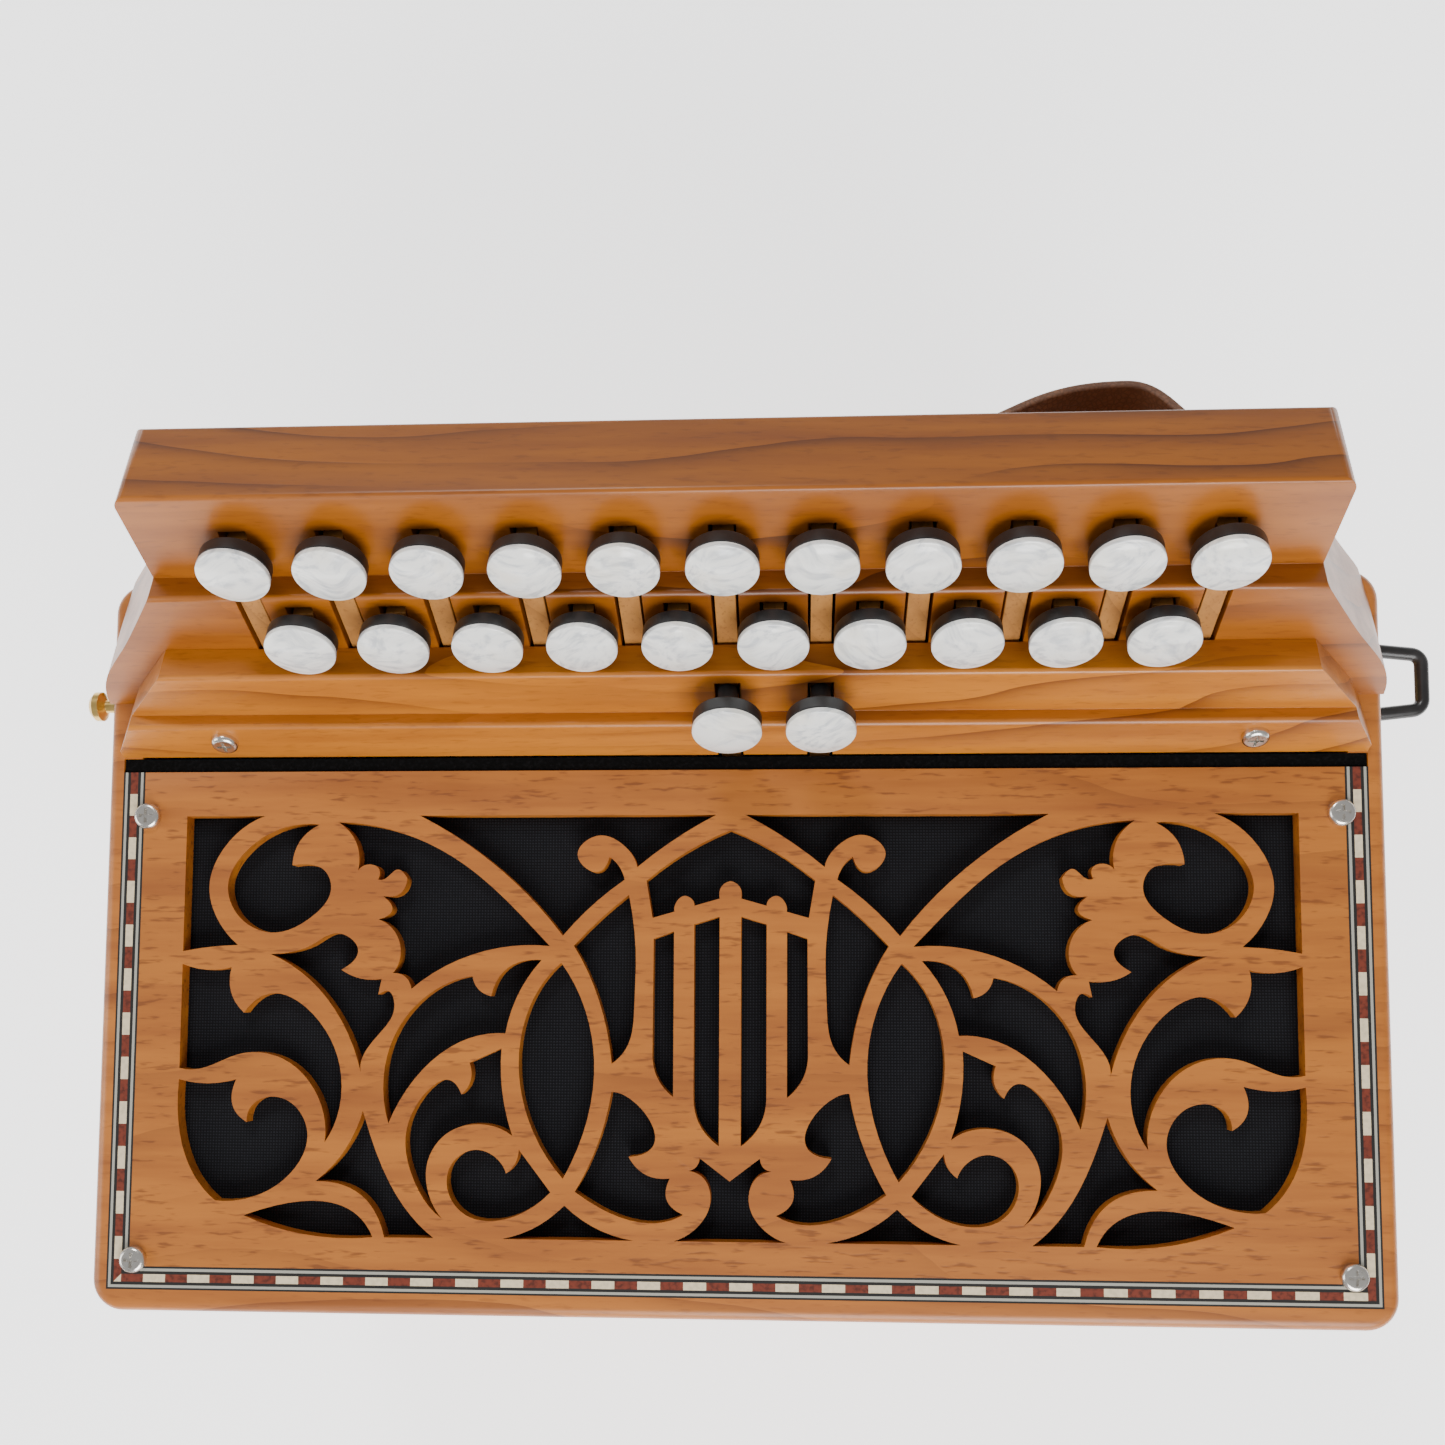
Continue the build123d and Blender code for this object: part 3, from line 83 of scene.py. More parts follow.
class Graph:
    """A node tree with short calls for adding and joining nodes."""

    def __init__(self, tree: bpy.types.NodeTree) -> None:
        """Keep the tree.

        Args:
            tree: The material's or group's node tree.
        """
        self.tree = tree

    def add(self, kind: str, settings: dict | None = None, **sockets: object) -> bpy.types.Node:
        """Add a node.

        Args:
            kind: The node's type name.
            settings: Properties of the node itself.
            sockets: Input sockets by name, with _ for a space: a value or another socket.

        Returns:
            The new node.
        """
        node = self.tree.nodes.new(kind)
        for key, value in (settings or {}).items():
            setattr(node, key, value)
        for key, value in sockets.items():
            self.feed(node.inputs[key.replace("_", " ")], value)
        return node

    def feed(self, socket: bpy.types.NodeSocket, value: object) -> None:
        """Join a socket to another, or set its value.

        Args:
            socket: The input to set.
            value: An output socket, a number, a vector or a colour.
        """
        if isinstance(value, bpy.types.NodeSocket):
            self.tree.links.new(value, socket)
        elif socket.type == "RGBA" and len(value) == 3:
            socket.default_value = (*value, 1.0)
        else:
            socket.default_value = value

    def math(self, operation: str, a: object, b: object = 0.0) -> bpy.types.NodeSocket:
        """A maths node on one or two values.

        Args:
            operation: The node's operation.
            a: The first value or socket.
            b: The second value or socket.

        Returns:
            The result's socket.
        """
        node = self.add("ShaderNodeMath", {"operation": operation})
        self.feed(node.inputs[0], a)
        self.feed(node.inputs[1], b)
        return node.outputs[0]

    def mix(self, factor: object, a: object, b: object, blend: str = "MIX") -> bpy.types.NodeSocket:
        """Mix two colours.

        Args:
            factor: How much of the second, from 0 to 1.
            a: The first colour.
            b: The second colour.
            blend: The node's way of blending.

        Returns:
            The mixed colour's socket.
        """
        node = self.add("ShaderNodeMix", {"data_type": "RGBA", "blend_type": blend})
        self.feed(node.inputs["Factor"], factor)
        self.feed(node.inputs[6], a)
        self.feed(node.inputs[7], b)
        return node.outputs[2]

    def ramp(self, value: object, low: float, high: float) -> bpy.types.NodeSocket:
        """Spread a value so that low becomes 0 and high becomes 1.

        Args:
            value: The value or socket to spread.
            low: What becomes 0.
            high: What becomes 1.

        Returns:
            The clamped result's socket.
        """
        node = self.add("ShaderNodeMapRange", {"interpolation_type": "SMOOTHSTEP"})
        self.feed(node.inputs["Value"], value)
        node.inputs["From Min"].default_value = low
        node.inputs["From Max"].default_value = high
        return node.outputs["Result"]

    def scaled(self, vector: object, scale: Triple, turn: Triple = (0, 0, 0)) -> bpy.types.NodeSocket:
        """Stretch and turn a coordinate.

        Args:
            vector: The coordinate.
            scale: The factor along each axis.
            turn: The angle about each axis.

        Returns:
            The new coordinate's socket.
        """
        node = self.add("ShaderNodeMapping", Vector=vector, Rotation=turn, Scale=scale)
        return node.outputs["Vector"]

    def noise(
        self, vector: object, scale: float, detail: float = 3.0, rough: float = 0.5
    ) -> bpy.types.NodeSocket:
        """Smooth noise.

        Args:
            vector: The coordinate.
            scale: Waves per unit.
            detail: How many finer layers are added.
            rough: How strong the finer layers are.

        Returns:
            The noise's factor socket.
        """
        node = self.add("ShaderNodeTexNoise", Vector=vector, Scale=scale, Detail=detail, Roughness=rough)
        return node.outputs["Fac"]

    def bump(self, height: object, depth: float, strength: float) -> bpy.types.NodeSocket:
        """Turn a height into a normal.

        Args:
            height: The height's socket.
            depth: What a height of 1 stands for.
            strength: How much of it shows.

        Returns:
            The normal's socket.
        """
        node = self.add("ShaderNodeBump", Height=height, Distance=depth, Strength=strength)
        return node.outputs["Normal"]


def new_group(
    name: str, inputs: dict[str, float | None], outputs: dict[str, str]
) -> tuple[bpy.types.NodeTree, Graph, bpy.types.Node, bpy.types.Node]:
    """Start a shader node group.

    Args:
        name: The group's name.
        inputs: Input names with their defaults; None makes a vector.
        outputs: Output names with their socket types.

    Returns:
        The tree, its graph, and its input and output nodes.
    """
    tree = bpy.data.node_groups.new(name, "ShaderNodeTree")
    for key, default in inputs.items():
        kind = "NodeSocketVector" if default is None else "NodeSocketFloat"
        socket = tree.interface.new_socket(key, in_out="INPUT", socket_type=kind)
        if default is not None:
            socket.default_value = default
    for key, kind in outputs.items():
        tree.interface.new_socket(key, in_out="OUTPUT", socket_type=kind)
    graph = Graph(tree)
    return tree, graph, graph.add("NodeGroupInput"), graph.add("NodeGroupOutput")


def grain_group() -> bpy.types.NodeTree:
    """Cherry's figure: growth lines, broad streaks and short flecks along X.

    Returns:
        The group, with outputs Lines, Streaks and Flecks, each from 0 to 1.
    """
    inputs = {"Vector": None, "Lines per m": 90.0, "Waviness": 1.0, "Fleck size": 1.0}
    outputs = {"Lines": "NodeSocketFloat", "Streaks": "NodeSocketFloat", "Flecks": "NodeSocketFloat"}
    tree, g, source, result = new_group("cherry_grain", inputs, outputs)
    place = source.outputs["Vector"]
    slow = g.noise(g.scaled(place, (6, 16, 16)), 1.0, 1.5)
    fine = g.noise(g.scaled(place, (22, 90, 90)), 1.0, 2.0)
    axes = g.add("ShaderNodeSeparateXYZ", Vector=place)
    across = g.math("ADD", axes.outputs["Y"], g.math("MULTIPLY", axes.outputs["Z"], 0.83))
    rings = g.math("MULTIPLY", across, source.outputs["Lines per m"])
    reach = g.math("MULTIPLY", source.outputs["Waviness"], 6.0)
    sway = g.math("MULTIPLY", g.math("SUBTRACT", slow, 0.5), reach)
    rings = g.math("ADD", rings, g.math("ADD", sway, g.math("MULTIPLY", fine, 0.35)))
    lines = g.math("POWER", g.math("FRACT", rings), 5.0)
    presence = g.ramp(g.noise(g.scaled(place, (9, 40, 40)), 1.0, 1.0), 0.35, 0.65)
    g.feed(result.inputs["Lines"], g.math("MULTIPLY", lines, presence))
    g.feed(result.inputs["Streaks"], g.noise(g.scaled(place, (14, 150, 150)), 1.0, 4.0, 0.6))
    pores = g.add("ShaderNodeVectorMath", {"operation": "SCALE"}, Vector=place)
    g.feed(pores.inputs["Scale"], source.outputs["Fleck size"])
    speckle = g.noise(g.scaled(pores.outputs["Vector"], (230, 1300, 1300)), 1.0, 2.0)
    g.feed(result.inputs["Flecks"], g.ramp(speckle, 0.55, 0.72))
    return tree


def weave_group() -> bpy.types.NodeTree:
    """A plain weave in X and Y.

    Returns:
        The group, with output Height from 0 to 1.
    """
    tree, g, source, result = new_group(
        "plain_weave", {"Vector": None, "Threads per m": 1800.0}, {"Height": "NodeSocketFloat"}
    )
    axes = g.add("ShaderNodeSeparateXYZ", Vector=source.outputs["Vector"])
    turn = g.math("MULTIPLY", source.outputs["Threads per m"], math.pi)
    warp = g.math("ABSOLUTE", g.math("SINE", g.math("MULTIPLY", axes.outputs["X"], turn)))
    weft = g.math("ABSOLUTE", g.math("SINE", g.math("MULTIPLY", axes.outputs["Y"], turn)))
    g.feed(result.inputs["Height"], g.math("MULTIPLY", warp, weft))
    return tree


def hide_group() -> bpy.types.NodeTree:
    """Leather's pebbled grain and its creases.

    Returns:
        The group, with outputs Pebble and Patina from 0 to 1.
    """
    outputs = {"Pebble": "NodeSocketFloat", "Patina": "NodeSocketFloat"}
    tree, g, source, result = new_group("hide_grain", {"Vector": None, "Pebbles per m": 900.0}, outputs)
    cells = g.add("ShaderNodeTexVoronoi", {"feature": "DISTANCE_TO_EDGE"}, Vector=source.outputs["Vector"])
    g.feed(cells.inputs["Scale"], source.outputs["Pebbles per m"])
    g.feed(result.inputs["Pebble"], g.ramp(cells.outputs["Distance"], 0.0, 0.25))
    g.feed(result.inputs["Patina"], g.noise(source.outputs["Vector"], 70.0, 5.0, 0.65))
    return tree


GRAIN = grain_group()
WEAVE = weave_group()
HIDE = hide_group()


# ------------------------------------------------------------------ finishes


@dataclass(frozen=True)
class Finish:
    """What every finish has: a name, and the shader that carries it."""

    name: str
    roughness: float = 0.4

    def start(self) -> tuple[bpy.types.Material, Graph, bpy.types.Node, bpy.types.NodeSocket]:
        """Make the material with its shader and its place in the frame.

        Returns:
            The material, its graph, the shader, and the Object coordinate.
        """
        material = bpy.data.materials.new(self.name)
        material.use_nodes = True
        graph = Graph(material.node_tree)
        shader = material.node_tree.nodes["Principled BSDF"]
        place = graph.add("ShaderNodeTexCoord").outputs["Object"]
        shader.inputs["Roughness"].default_value = self.roughness
        return material, graph, shader, place


@dataclass(frozen=True)
class WoodFinish(Finish):
    """Varnished wood with growth lines, streaks and flecks."""

    light: Colour = (0.50, 0.165, 0.020)
    dark: Colour = (0.32, 0.090, 0.009)
    line: Colour = (0.12, 0.026, 0.003)
    lines_per_m: float = 90.0
    waviness: float = 1.0
    line_depth: float = 0.6
    fleck_depth: float = 0.25
    fleck_size: float = 1.0
    tilt: Triple = (0.0, 0.0, 0.0)
    axis: GrainAxis = GrainAxis.ALONG_X
    varnish: float = 0.15

    def build(self) -> bpy.types.Material:
        """Make the material.

        Returns:
            The finished material.
        """
        material, g, shader, place = self.start()
        turned = g.scaled(place, (1, 1, 1), self.axis.value)
        tilted = g.scaled(turned, (1, 1, 1), self.tilt)
        grain = g.add("ShaderNodeGroup", {"node_tree": GRAIN}, Vector=tilted)
        grain.inputs["Lines per m"].default_value = self.lines_per_m
        grain.inputs["Waviness"].default_value = self.waviness
        grain.inputs["Fleck size"].default_value = self.fleck_size
        body = g.mix(g.ramp(grain.outputs["Streaks"], 0.25, 0.8), self.light, self.dark)
        lines = g.math("MULTIPLY", grain.outputs["Lines"], self.line_depth)
        flecks = g.math("MULTIPLY", grain.outputs["Flecks"], self.fleck_depth)
        body = g.mix(lines, body, self.line)
        body = g.mix(flecks, body, self.line)
        g.feed(shader.inputs["Base Color"], body)
        wear = g.math("MULTIPLY", grain.outputs["Streaks"], 0.18)
        g.feed(shader.inputs["Roughness"], g.math("ADD", wear, self.roughness - 0.08))
        relief = g.math("SUBTRACT", 1.0, g.math("ADD", flecks, g.math("MULTIPLY", lines, 0.4)))
        g.feed(shader.inputs["Normal"], g.bump(relief, 0.05 * MM, 0.5))
        shader.inputs["Coat Weight"].default_value = self.varnish
        shader.inputs["Coat Roughness"].default_value = 0.28
        return material


@dataclass(frozen=True)
class PearlFinish(Finish):
    """Mother-of-pearl with drifting bright and grey bands."""

    white: Colour = (0.95, 0.95, 0.91)
    shade: Colour = (0.58, 0.60, 0.62)
    warm: Colour = (0.93, 0.87, 0.73)

    def build(self) -> bpy.types.Material:
        """Make the material.

        Returns:
            The finished material.
        """
        material, g, shader, place = self.start()
        bend = g.add("ShaderNodeTexNoise", Vector=place, Scale=34.0, Detail=2.0)
        swirl = g.add("ShaderNodeVectorMath", {"operation": "SCALE"}, Vector=bend.outputs["Color"], Scale=0.05)
        moved = g.add("ShaderNodeVectorMath", {"operation": "ADD"})
        g.feed(moved.inputs[0], place)
        g.feed(moved.inputs[1], swirl.outputs["Vector"])
        bands = g.noise(g.scaled(moved.outputs["Vector"], (130, 520, 420), (0, 0, 0.4)), 1.0, 4.0, 0.55)
        clouds = g.noise(place, 110.0, 2.0)
        body = g.mix(g.ramp(bands, 0.42, 0.72), self.white, self.shade)
        body = g.mix(g.math("MULTIPLY", g.ramp(clouds, 0.5, 0.75), 0.5), body, self.warm)
        g.feed(shader.inputs["Base Color"], body)
        g.feed(shader.inputs["Roughness"], g.math("ADD", g.math("MULTIPLY", bands, 0.12), self.roughness))
        shader.inputs["Coat Weight"].default_value = 0.7
        shader.inputs["Coat Roughness"].default_value = 0.08
        return material


@dataclass(frozen=True)
class PlasticFinish(Finish):
    """Moulded plastic or rubber, with faint mould texture and handling haze."""

    colour: Colour = (0.012, 0.012, 0.013)

    def build(self) -> bpy.types.Material:
        """Make the material.

        Returns:
            The finished material.
        """
        material, g, shader, place = self.start()
        haze = g.noise(place, 160.0, 4.0, 0.6)
        brighter = tuple(min(1.0, c * 1.5 + 0.004) for c in self.colour)
        g.feed(shader.inputs["Base Color"], g.mix(g.ramp(haze, 0.4, 0.8), self.colour, brighter))
        g.feed(shader.inputs["Roughness"], g.math("ADD", g.math("MULTIPLY", haze, 0.2), self.roughness - 0.1))
        g.feed(shader.inputs["Normal"], g.bump(g.noise(place, 3200.0, 2.0), 0.02 * MM, 0.4))
        return material


@dataclass(frozen=True)
class MetalFinish(Finish):
    """Polished, drawn or aged metal with fine scratches and tarnish."""

    colour: Colour = (0.74, 0.71, 0.66)
    tarnish: Colour = (0.30, 0.27, 0.22)
    age: float = 0.3

    def build(self) -> bpy.types.Material:
        """Make the material.

        Returns:
            The finished material.
        """
        material, g, shader, place = self.start()
        stain = g.noise(place, 420.0, 4.0, 0.6)
        scratch = g.noise(g.scaled(place, (400, 5200, 2600)), 1.0, 2.0)
        dull = g.math("MULTIPLY", g.ramp(stain, 0.45, 0.8), self.age)
        g.feed(shader.inputs["Base Color"], g.mix(dull, self.colour, self.tarnish))
        rough = g.math("ADD", g.math("MULTIPLY", stain, 0.2), self.roughness - 0.08)
        g.feed(shader.inputs["Roughness"], rough)
        g.feed(shader.inputs["Normal"], g.bump(scratch, 0.01 * MM, 0.3))
        shader.inputs["Metallic"].default_value = 1.0
        return material


@dataclass(frozen=True)
class ClothFinish(Finish):
    """Woven cloth, in the X and Y of its piece or of its own UV map."""

    colour: Colour = (0.012, 0.013, 0.018)
    thread: Colour = (0.045, 0.05, 0.065)
    threads_per_m: float = 1500.0
    relief: float = 0.12

    def build(self) -> bpy.types.Material:
        """Make the material.

        Returns:
            The finished material.
        """
        material, g, shader, place = self.start()
        weave = g.add("ShaderNodeGroup", {"node_tree": WEAVE}, Vector=place)
        weave.inputs["Threads per m"].default_value = self.threads_per_m
        fuzz = g.noise(place, 900.0, 3.0)
        height = g.math("ADD", weave.outputs["Height"], g.math("MULTIPLY", fuzz, 0.3))
        g.feed(shader.inputs["Base Color"], g.mix(g.ramp(height, 0.5, 1.15), self.colour, self.thread))
        g.feed(shader.inputs["Normal"], g.bump(height, self.relief * MM, 0.8))
        shader.inputs["Specular IOR Level"].default_value = 0.2
        return material


@dataclass(frozen=True)
class FeltFinish(Finish):
    """Felted wool, with a fuzzy matted surface."""

    colour: Colour = (0.002, 0.002, 0.002)
    fibre: Colour = (0.008, 0.008, 0.009)

    def build(self) -> bpy.types.Material:
        """Make the material.

        Returns:
            The finished material.
        """
        material, g, shader, place = self.start()
        mat = g.noise(place, 1500.0, 5.0, 0.7)
        g.feed(shader.inputs["Base Color"], g.mix(g.ramp(mat, 0.45, 0.75), self.colour, self.fibre))
        g.feed(shader.inputs["Normal"], g.bump(mat, 0.25 * MM, 0.9))
        shader.inputs["Specular IOR Level"].default_value = 0.1
        return material


@dataclass(frozen=True)
class LeatherFinish(Finish):
    """Tanned leather with pebbled grain, creases and a worn patina."""

    colour: Colour = (0.16, 0.06, 0.025)
    worn: Colour = (0.27, 0.12, 0.055)
    pebbles_per_m: float = 900.0

    def build(self) -> bpy.types.Material:
        """Make the material.

        Returns:
            The finished material.
        """
        material, g, shader, place = self.start()
        hide = g.add("ShaderNodeGroup", {"node_tree": HIDE}, Vector=place)
        hide.inputs["Pebbles per m"].default_value = self.pebbles_per_m
        body = g.mix(g.ramp(hide.outputs["Patina"], 0.35, 0.75), self.colour, self.worn)
        crease = g.math("SUBTRACT", 1.0, hide.outputs["Pebble"])
        dark = tuple(c * 0.45 for c in self.colour)
        g.feed(shader.inputs["Base Color"], g.mix(g.math("MULTIPLY", crease, 0.5), body, dark))
        wear = g.math("MULTIPLY", hide.outputs["Patina"], 0.25)
        g.feed(shader.inputs["Roughness"], g.math("ADD", wear, self.roughness - 0.1))
        g.feed(shader.inputs["Normal"], g.bump(hide.outputs["Pebble"], 0.06 * MM, 0.6))
        return material


@dataclass(frozen=True)
class InlayFinish(Finish):
    """The edge inlay: strings of black and grey each side of cream and red-brown blocks."""

    low: Vector = field(default_factory=Vector)
    high: Vector = field(default_factory=Vector)
    strings: tuple[float, ...] = (0.42, 1.0, 1.65, 3.35, 4.0, 4.6)
    block: float = 5.0 * MM
    black: Colour = (0.012, 0.011, 0.010)
    grey: Colour = (0.36, 0.35, 0.30)
    cream: Colour = (0.76, 0.63, 0.42)
    red: Colour = (0.17, 0.030, 0.014)

    def blocks(self, g: Graph, along: object, length: float) -> bpy.types.NodeSocket:
        """Whether a point is on a cream block, alternating along one run.

        Args:
            g: The material's graph.
            along: The distance from the run's start.
            length: The run's whole length.

        Returns:
            A mask socket, 1 on cream.
        """
        count = round(length / self.block)
        step = g.math("FLOOR", g.math("MULTIPLY", along, count / length))
        return g.math("MODULO", step, 2.0)

    def build(self) -> bpy.types.Material:
        """Make the material.

        Returns:
            The finished material.
        """
        material, g, shader, place = self.start()
        axes = g.add("ShaderNodeSeparateXYZ", Vector=place)
        x, y = axes.outputs["X"], axes.outputs["Y"]
        half = (self.high.x - self.low.x) / 2
        inner = self.strings[3] * MM
        from_side = g.math("SUBTRACT", half, g.math("ABSOLUTE", x))
        from_front = g.math("SUBTRACT", y, self.low.y)
        inset = g.math("MINIMUM", from_side, from_front)
        on_side = g.math("LESS_THAN", from_side, from_front)
        outer = self.strings[2] * MM
        side_length = self.high.y - self.low.y - outer
        front_length = 2 * (half - inner)
        side = self.blocks(g, g.math("SUBTRACT", self.high.y, y), side_length)
        front = self.blocks(g, g.math("ADD", x, front_length / 2), front_length)
        checks = g.math("ADD", g.math("MULTIPLY", side, on_side),
                        g.math("MULTIPLY", g.math("ABSOLUTE", front), g.math("SUBTRACT", 1.0, on_side)))
        grain = g.noise(g.scaled(place, (900, 900, 900)), 1.0, 3.0)
        red = g.mix(g.ramp(grain, 0.4, 0.7), self.red, tuple(c * 0.45 for c in self.red))
        cream = g.mix(g.ramp(grain, 0.35, 0.75), self.cream, tuple(c * 0.8 for c in self.cream))
        body = g.mix(g.math("GREATER_THAN", checks, 0.5), red, cream)
        a, b, c, d, e, f = (s * MM for s in self.strings)
        for start, end, colour in ((-1.0, a, self.black), (a, b, self.grey), (b, c, self.black),
                                   (d, e, self.black), (e, f, self.grey), (f, 1.0, self.black)):
            inside = g.math("MULTIPLY", g.math("GREATER_THAN", inset, start), g.math("LESS_THAN", inset, end))
            body = g.mix(inside, body, colour)
        g.feed(shader.inputs["Base Color"], body)
        g.feed(shader.inputs["Normal"], g.bump(grain, 0.02 * MM, 0.3))
        shader.inputs["Coat Weight"].default_value = 0.3
        shader.inputs["Coat Roughness"].default_value = 0.2
        return material


# ------------------------------------------------------------------ mesh helpers


def new_object(name: str, bm: bmesh.types.BMesh, *materials: bpy.types.Material) -> bpy.types.Object:
    """Turn a bmesh into an object in the scene, with smooth faces and sharp hard edges.

    Args:
        name: The piece's name.
        bm: The mesh, which is freed.
        materials: The piece's finishes, one for each material index.

    Returns:
        The new object.
    """
    mesh = bpy.data.meshes.new(name)
    for face in bm.faces:
        face.smooth = True
    bm.to_mesh(mesh)
    bm.free()
    mesh.set_sharp_from_angle(angle=SMOOTH_ANGLE)
    for material in materials:
        mesh.materials.append(material)
    piece = bpy.data.objects.new(name, mesh)
    bpy.context.scene.collection.objects.link(piece)
    return piece


def settle(piece: bpy.types.Object, body: str, slot: str, *nodes: str) -> bpy.types.Object:
    """Put a finished piece on its body and hide the frame's nodes that it stands for.

    Args:
        piece: The finished object.
        body: The body that carries it.
        slot: Not used.
        nodes: The frame's nodes that it stands for.

    Returns:
        The same piece.
    """
    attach(piece, body)
    if nodes:
        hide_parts(*nodes)
    LOG.info("%s on %s", piece.name, body)
    return piece


def soften(piece: bpy.types.Object, width: float, segments: int = 2) -> bpy.types.Object:
    """Round a piece's hard edges.

    Args:
        piece: The object.
        width: The rounding's width.
        segments: Faces across each rounding.

    Returns:
        The same piece.
    """
    bevel = piece.modifiers.new("soft_edges", "BEVEL")
    bevel.width = width
    bevel.segments = segments
    bevel.limit_method = "ANGLE"
    bevel.angle_limit = SMOOTH_ANGLE
    bevel.harden_normals = True
    return piece


def merged_copy(node: str) -> bmesh.types.BMesh:
    """A merged copy of a frame node's mesh, with its flat faces whole again.

    Args:
        node: The node's name.

    Returns:
        A new bmesh.
    """
    bm = bmesh.new()
    bm.from_mesh(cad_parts[node].data)
    bmesh.ops.remove_doubles(bm, verts=bm.verts, dist=0.002 * MM)
    for edge in bm.edges:
        edge.seam = False
    bmesh.ops.dissolve_limit(bm, angle_limit=math.radians(0.6), verts=bm.verts, edges=bm.edges)
    return bm


def islands(bm: bmesh.types.BMesh) -> list[bmesh.types.BMesh]:
    """Split a mesh into its separate solids.

    Args:
        bm: The mesh, which is freed.

    Returns:
        One new bmesh for each solid.
    """
    bm.verts.ensure_lookup_table()
    group = [-1] * len(bm.verts)
    count = 0
    for start in bm.verts:
        if group[start.index] >= 0:
            continue
        stack = [start]
        group[start.index] = count
        while stack:
            for edge in stack.pop().link_edges:
                for vert in edge.verts:
                    if group[vert.index] < 0:
                        group[vert.index] = count
                        stack.append(vert)
        count += 1
    solids = []
    for index in range(count):
        solid = bm.copy()
        solid.verts.ensure_lookup_table()
        others = [v for v in solid.verts if group[v.index] != index]
        bmesh.ops.delete(solid, geom=others, context="VERTS")
        solids.append(solid)
    bm.free()
    return solids


def extent(bm: bmesh.types.BMesh) -> tuple[Vector, Vector]:
    """The lowest and highest corner of a mesh.

    Args:
        bm: The mesh.

    Returns:
        The two corners.
    """
    low = Vector(min(v.co[i] for v in bm.verts) for i in range(3))
    high = Vector(max(v.co[i] for v in bm.verts) for i in range(3))
    return low, high


def turned(
    profile: list[tuple[float, float]], centre: Vector, normal: Vector, steps: int
) -> bmesh.types.BMesh:
    """A turned solid: a half profile spun about a centre line.

    Args:
        profile: Points as (radius, height), from the foot's centre to the top's centre.
        centre: Where height 0 lies.
        normal: The way the height runs.
        steps: Faces around.

    Returns:
        The solid, in place.
    """
    bm = bmesh.new()
    verts = [bm.verts.new((radius, 0, height)) for radius, height in profile]
    edges = [bm.edges.new(pair) for pair in zip(verts, verts[1:])]
    bmesh.ops.spin(bm, geom=verts + edges, cent=(0, 0, 0), axis=(0, 0, 1), angle=math.tau, steps=steps,
                   use_merge=True)
    bmesh.ops.remove_doubles(bm, verts=bm.verts, dist=0.001 * MM)
    bmesh.ops.recalc_face_normals(bm, faces=bm.faces)
    turn = Vector((0, 0, 1)).rotation_difference(normal).to_matrix().to_4x4()
    bmesh.ops.transform(bm, matrix=Matrix.Translation(centre) @ turn, verts=bm.verts)
    return bm


def arc(
    centre: tuple[float, float], radius: float, start: float, end: float, steps: int
) -> list[tuple[float, float]]:
    """A profile's rounded corner.

    Args:
        centre: The arc's centre.
        radius: Its radius.
        start: The first point's angle in degrees.
        end: The last point's angle in degrees.
        steps: How many stretches it has.

    Returns:
        The arc's points.
    """
    turns = [math.radians(start + (end - start) * i / steps) for i in range(steps + 1)]
    return [(centre[0] + radius * math.cos(t), centre[1] + radius * math.sin(t)) for t in turns]


def joined(pieces: list[bmesh.types.BMesh]) -> bmesh.types.BMesh:
    """Put several meshes together in one.

    Args:
        pieces: The meshes, which are freed.

    Returns:
        The new mesh.
    """
    whole = bmesh.new()
    for piece in pieces:
        mesh = bpy.data.meshes.new("joining")
        piece.to_mesh(mesh)
        piece.free()
        whole.from_mesh(mesh)
        bpy.data.meshes.remove(mesh)
    return whole


# ------------------------------------------------------------------ sub-assemblies


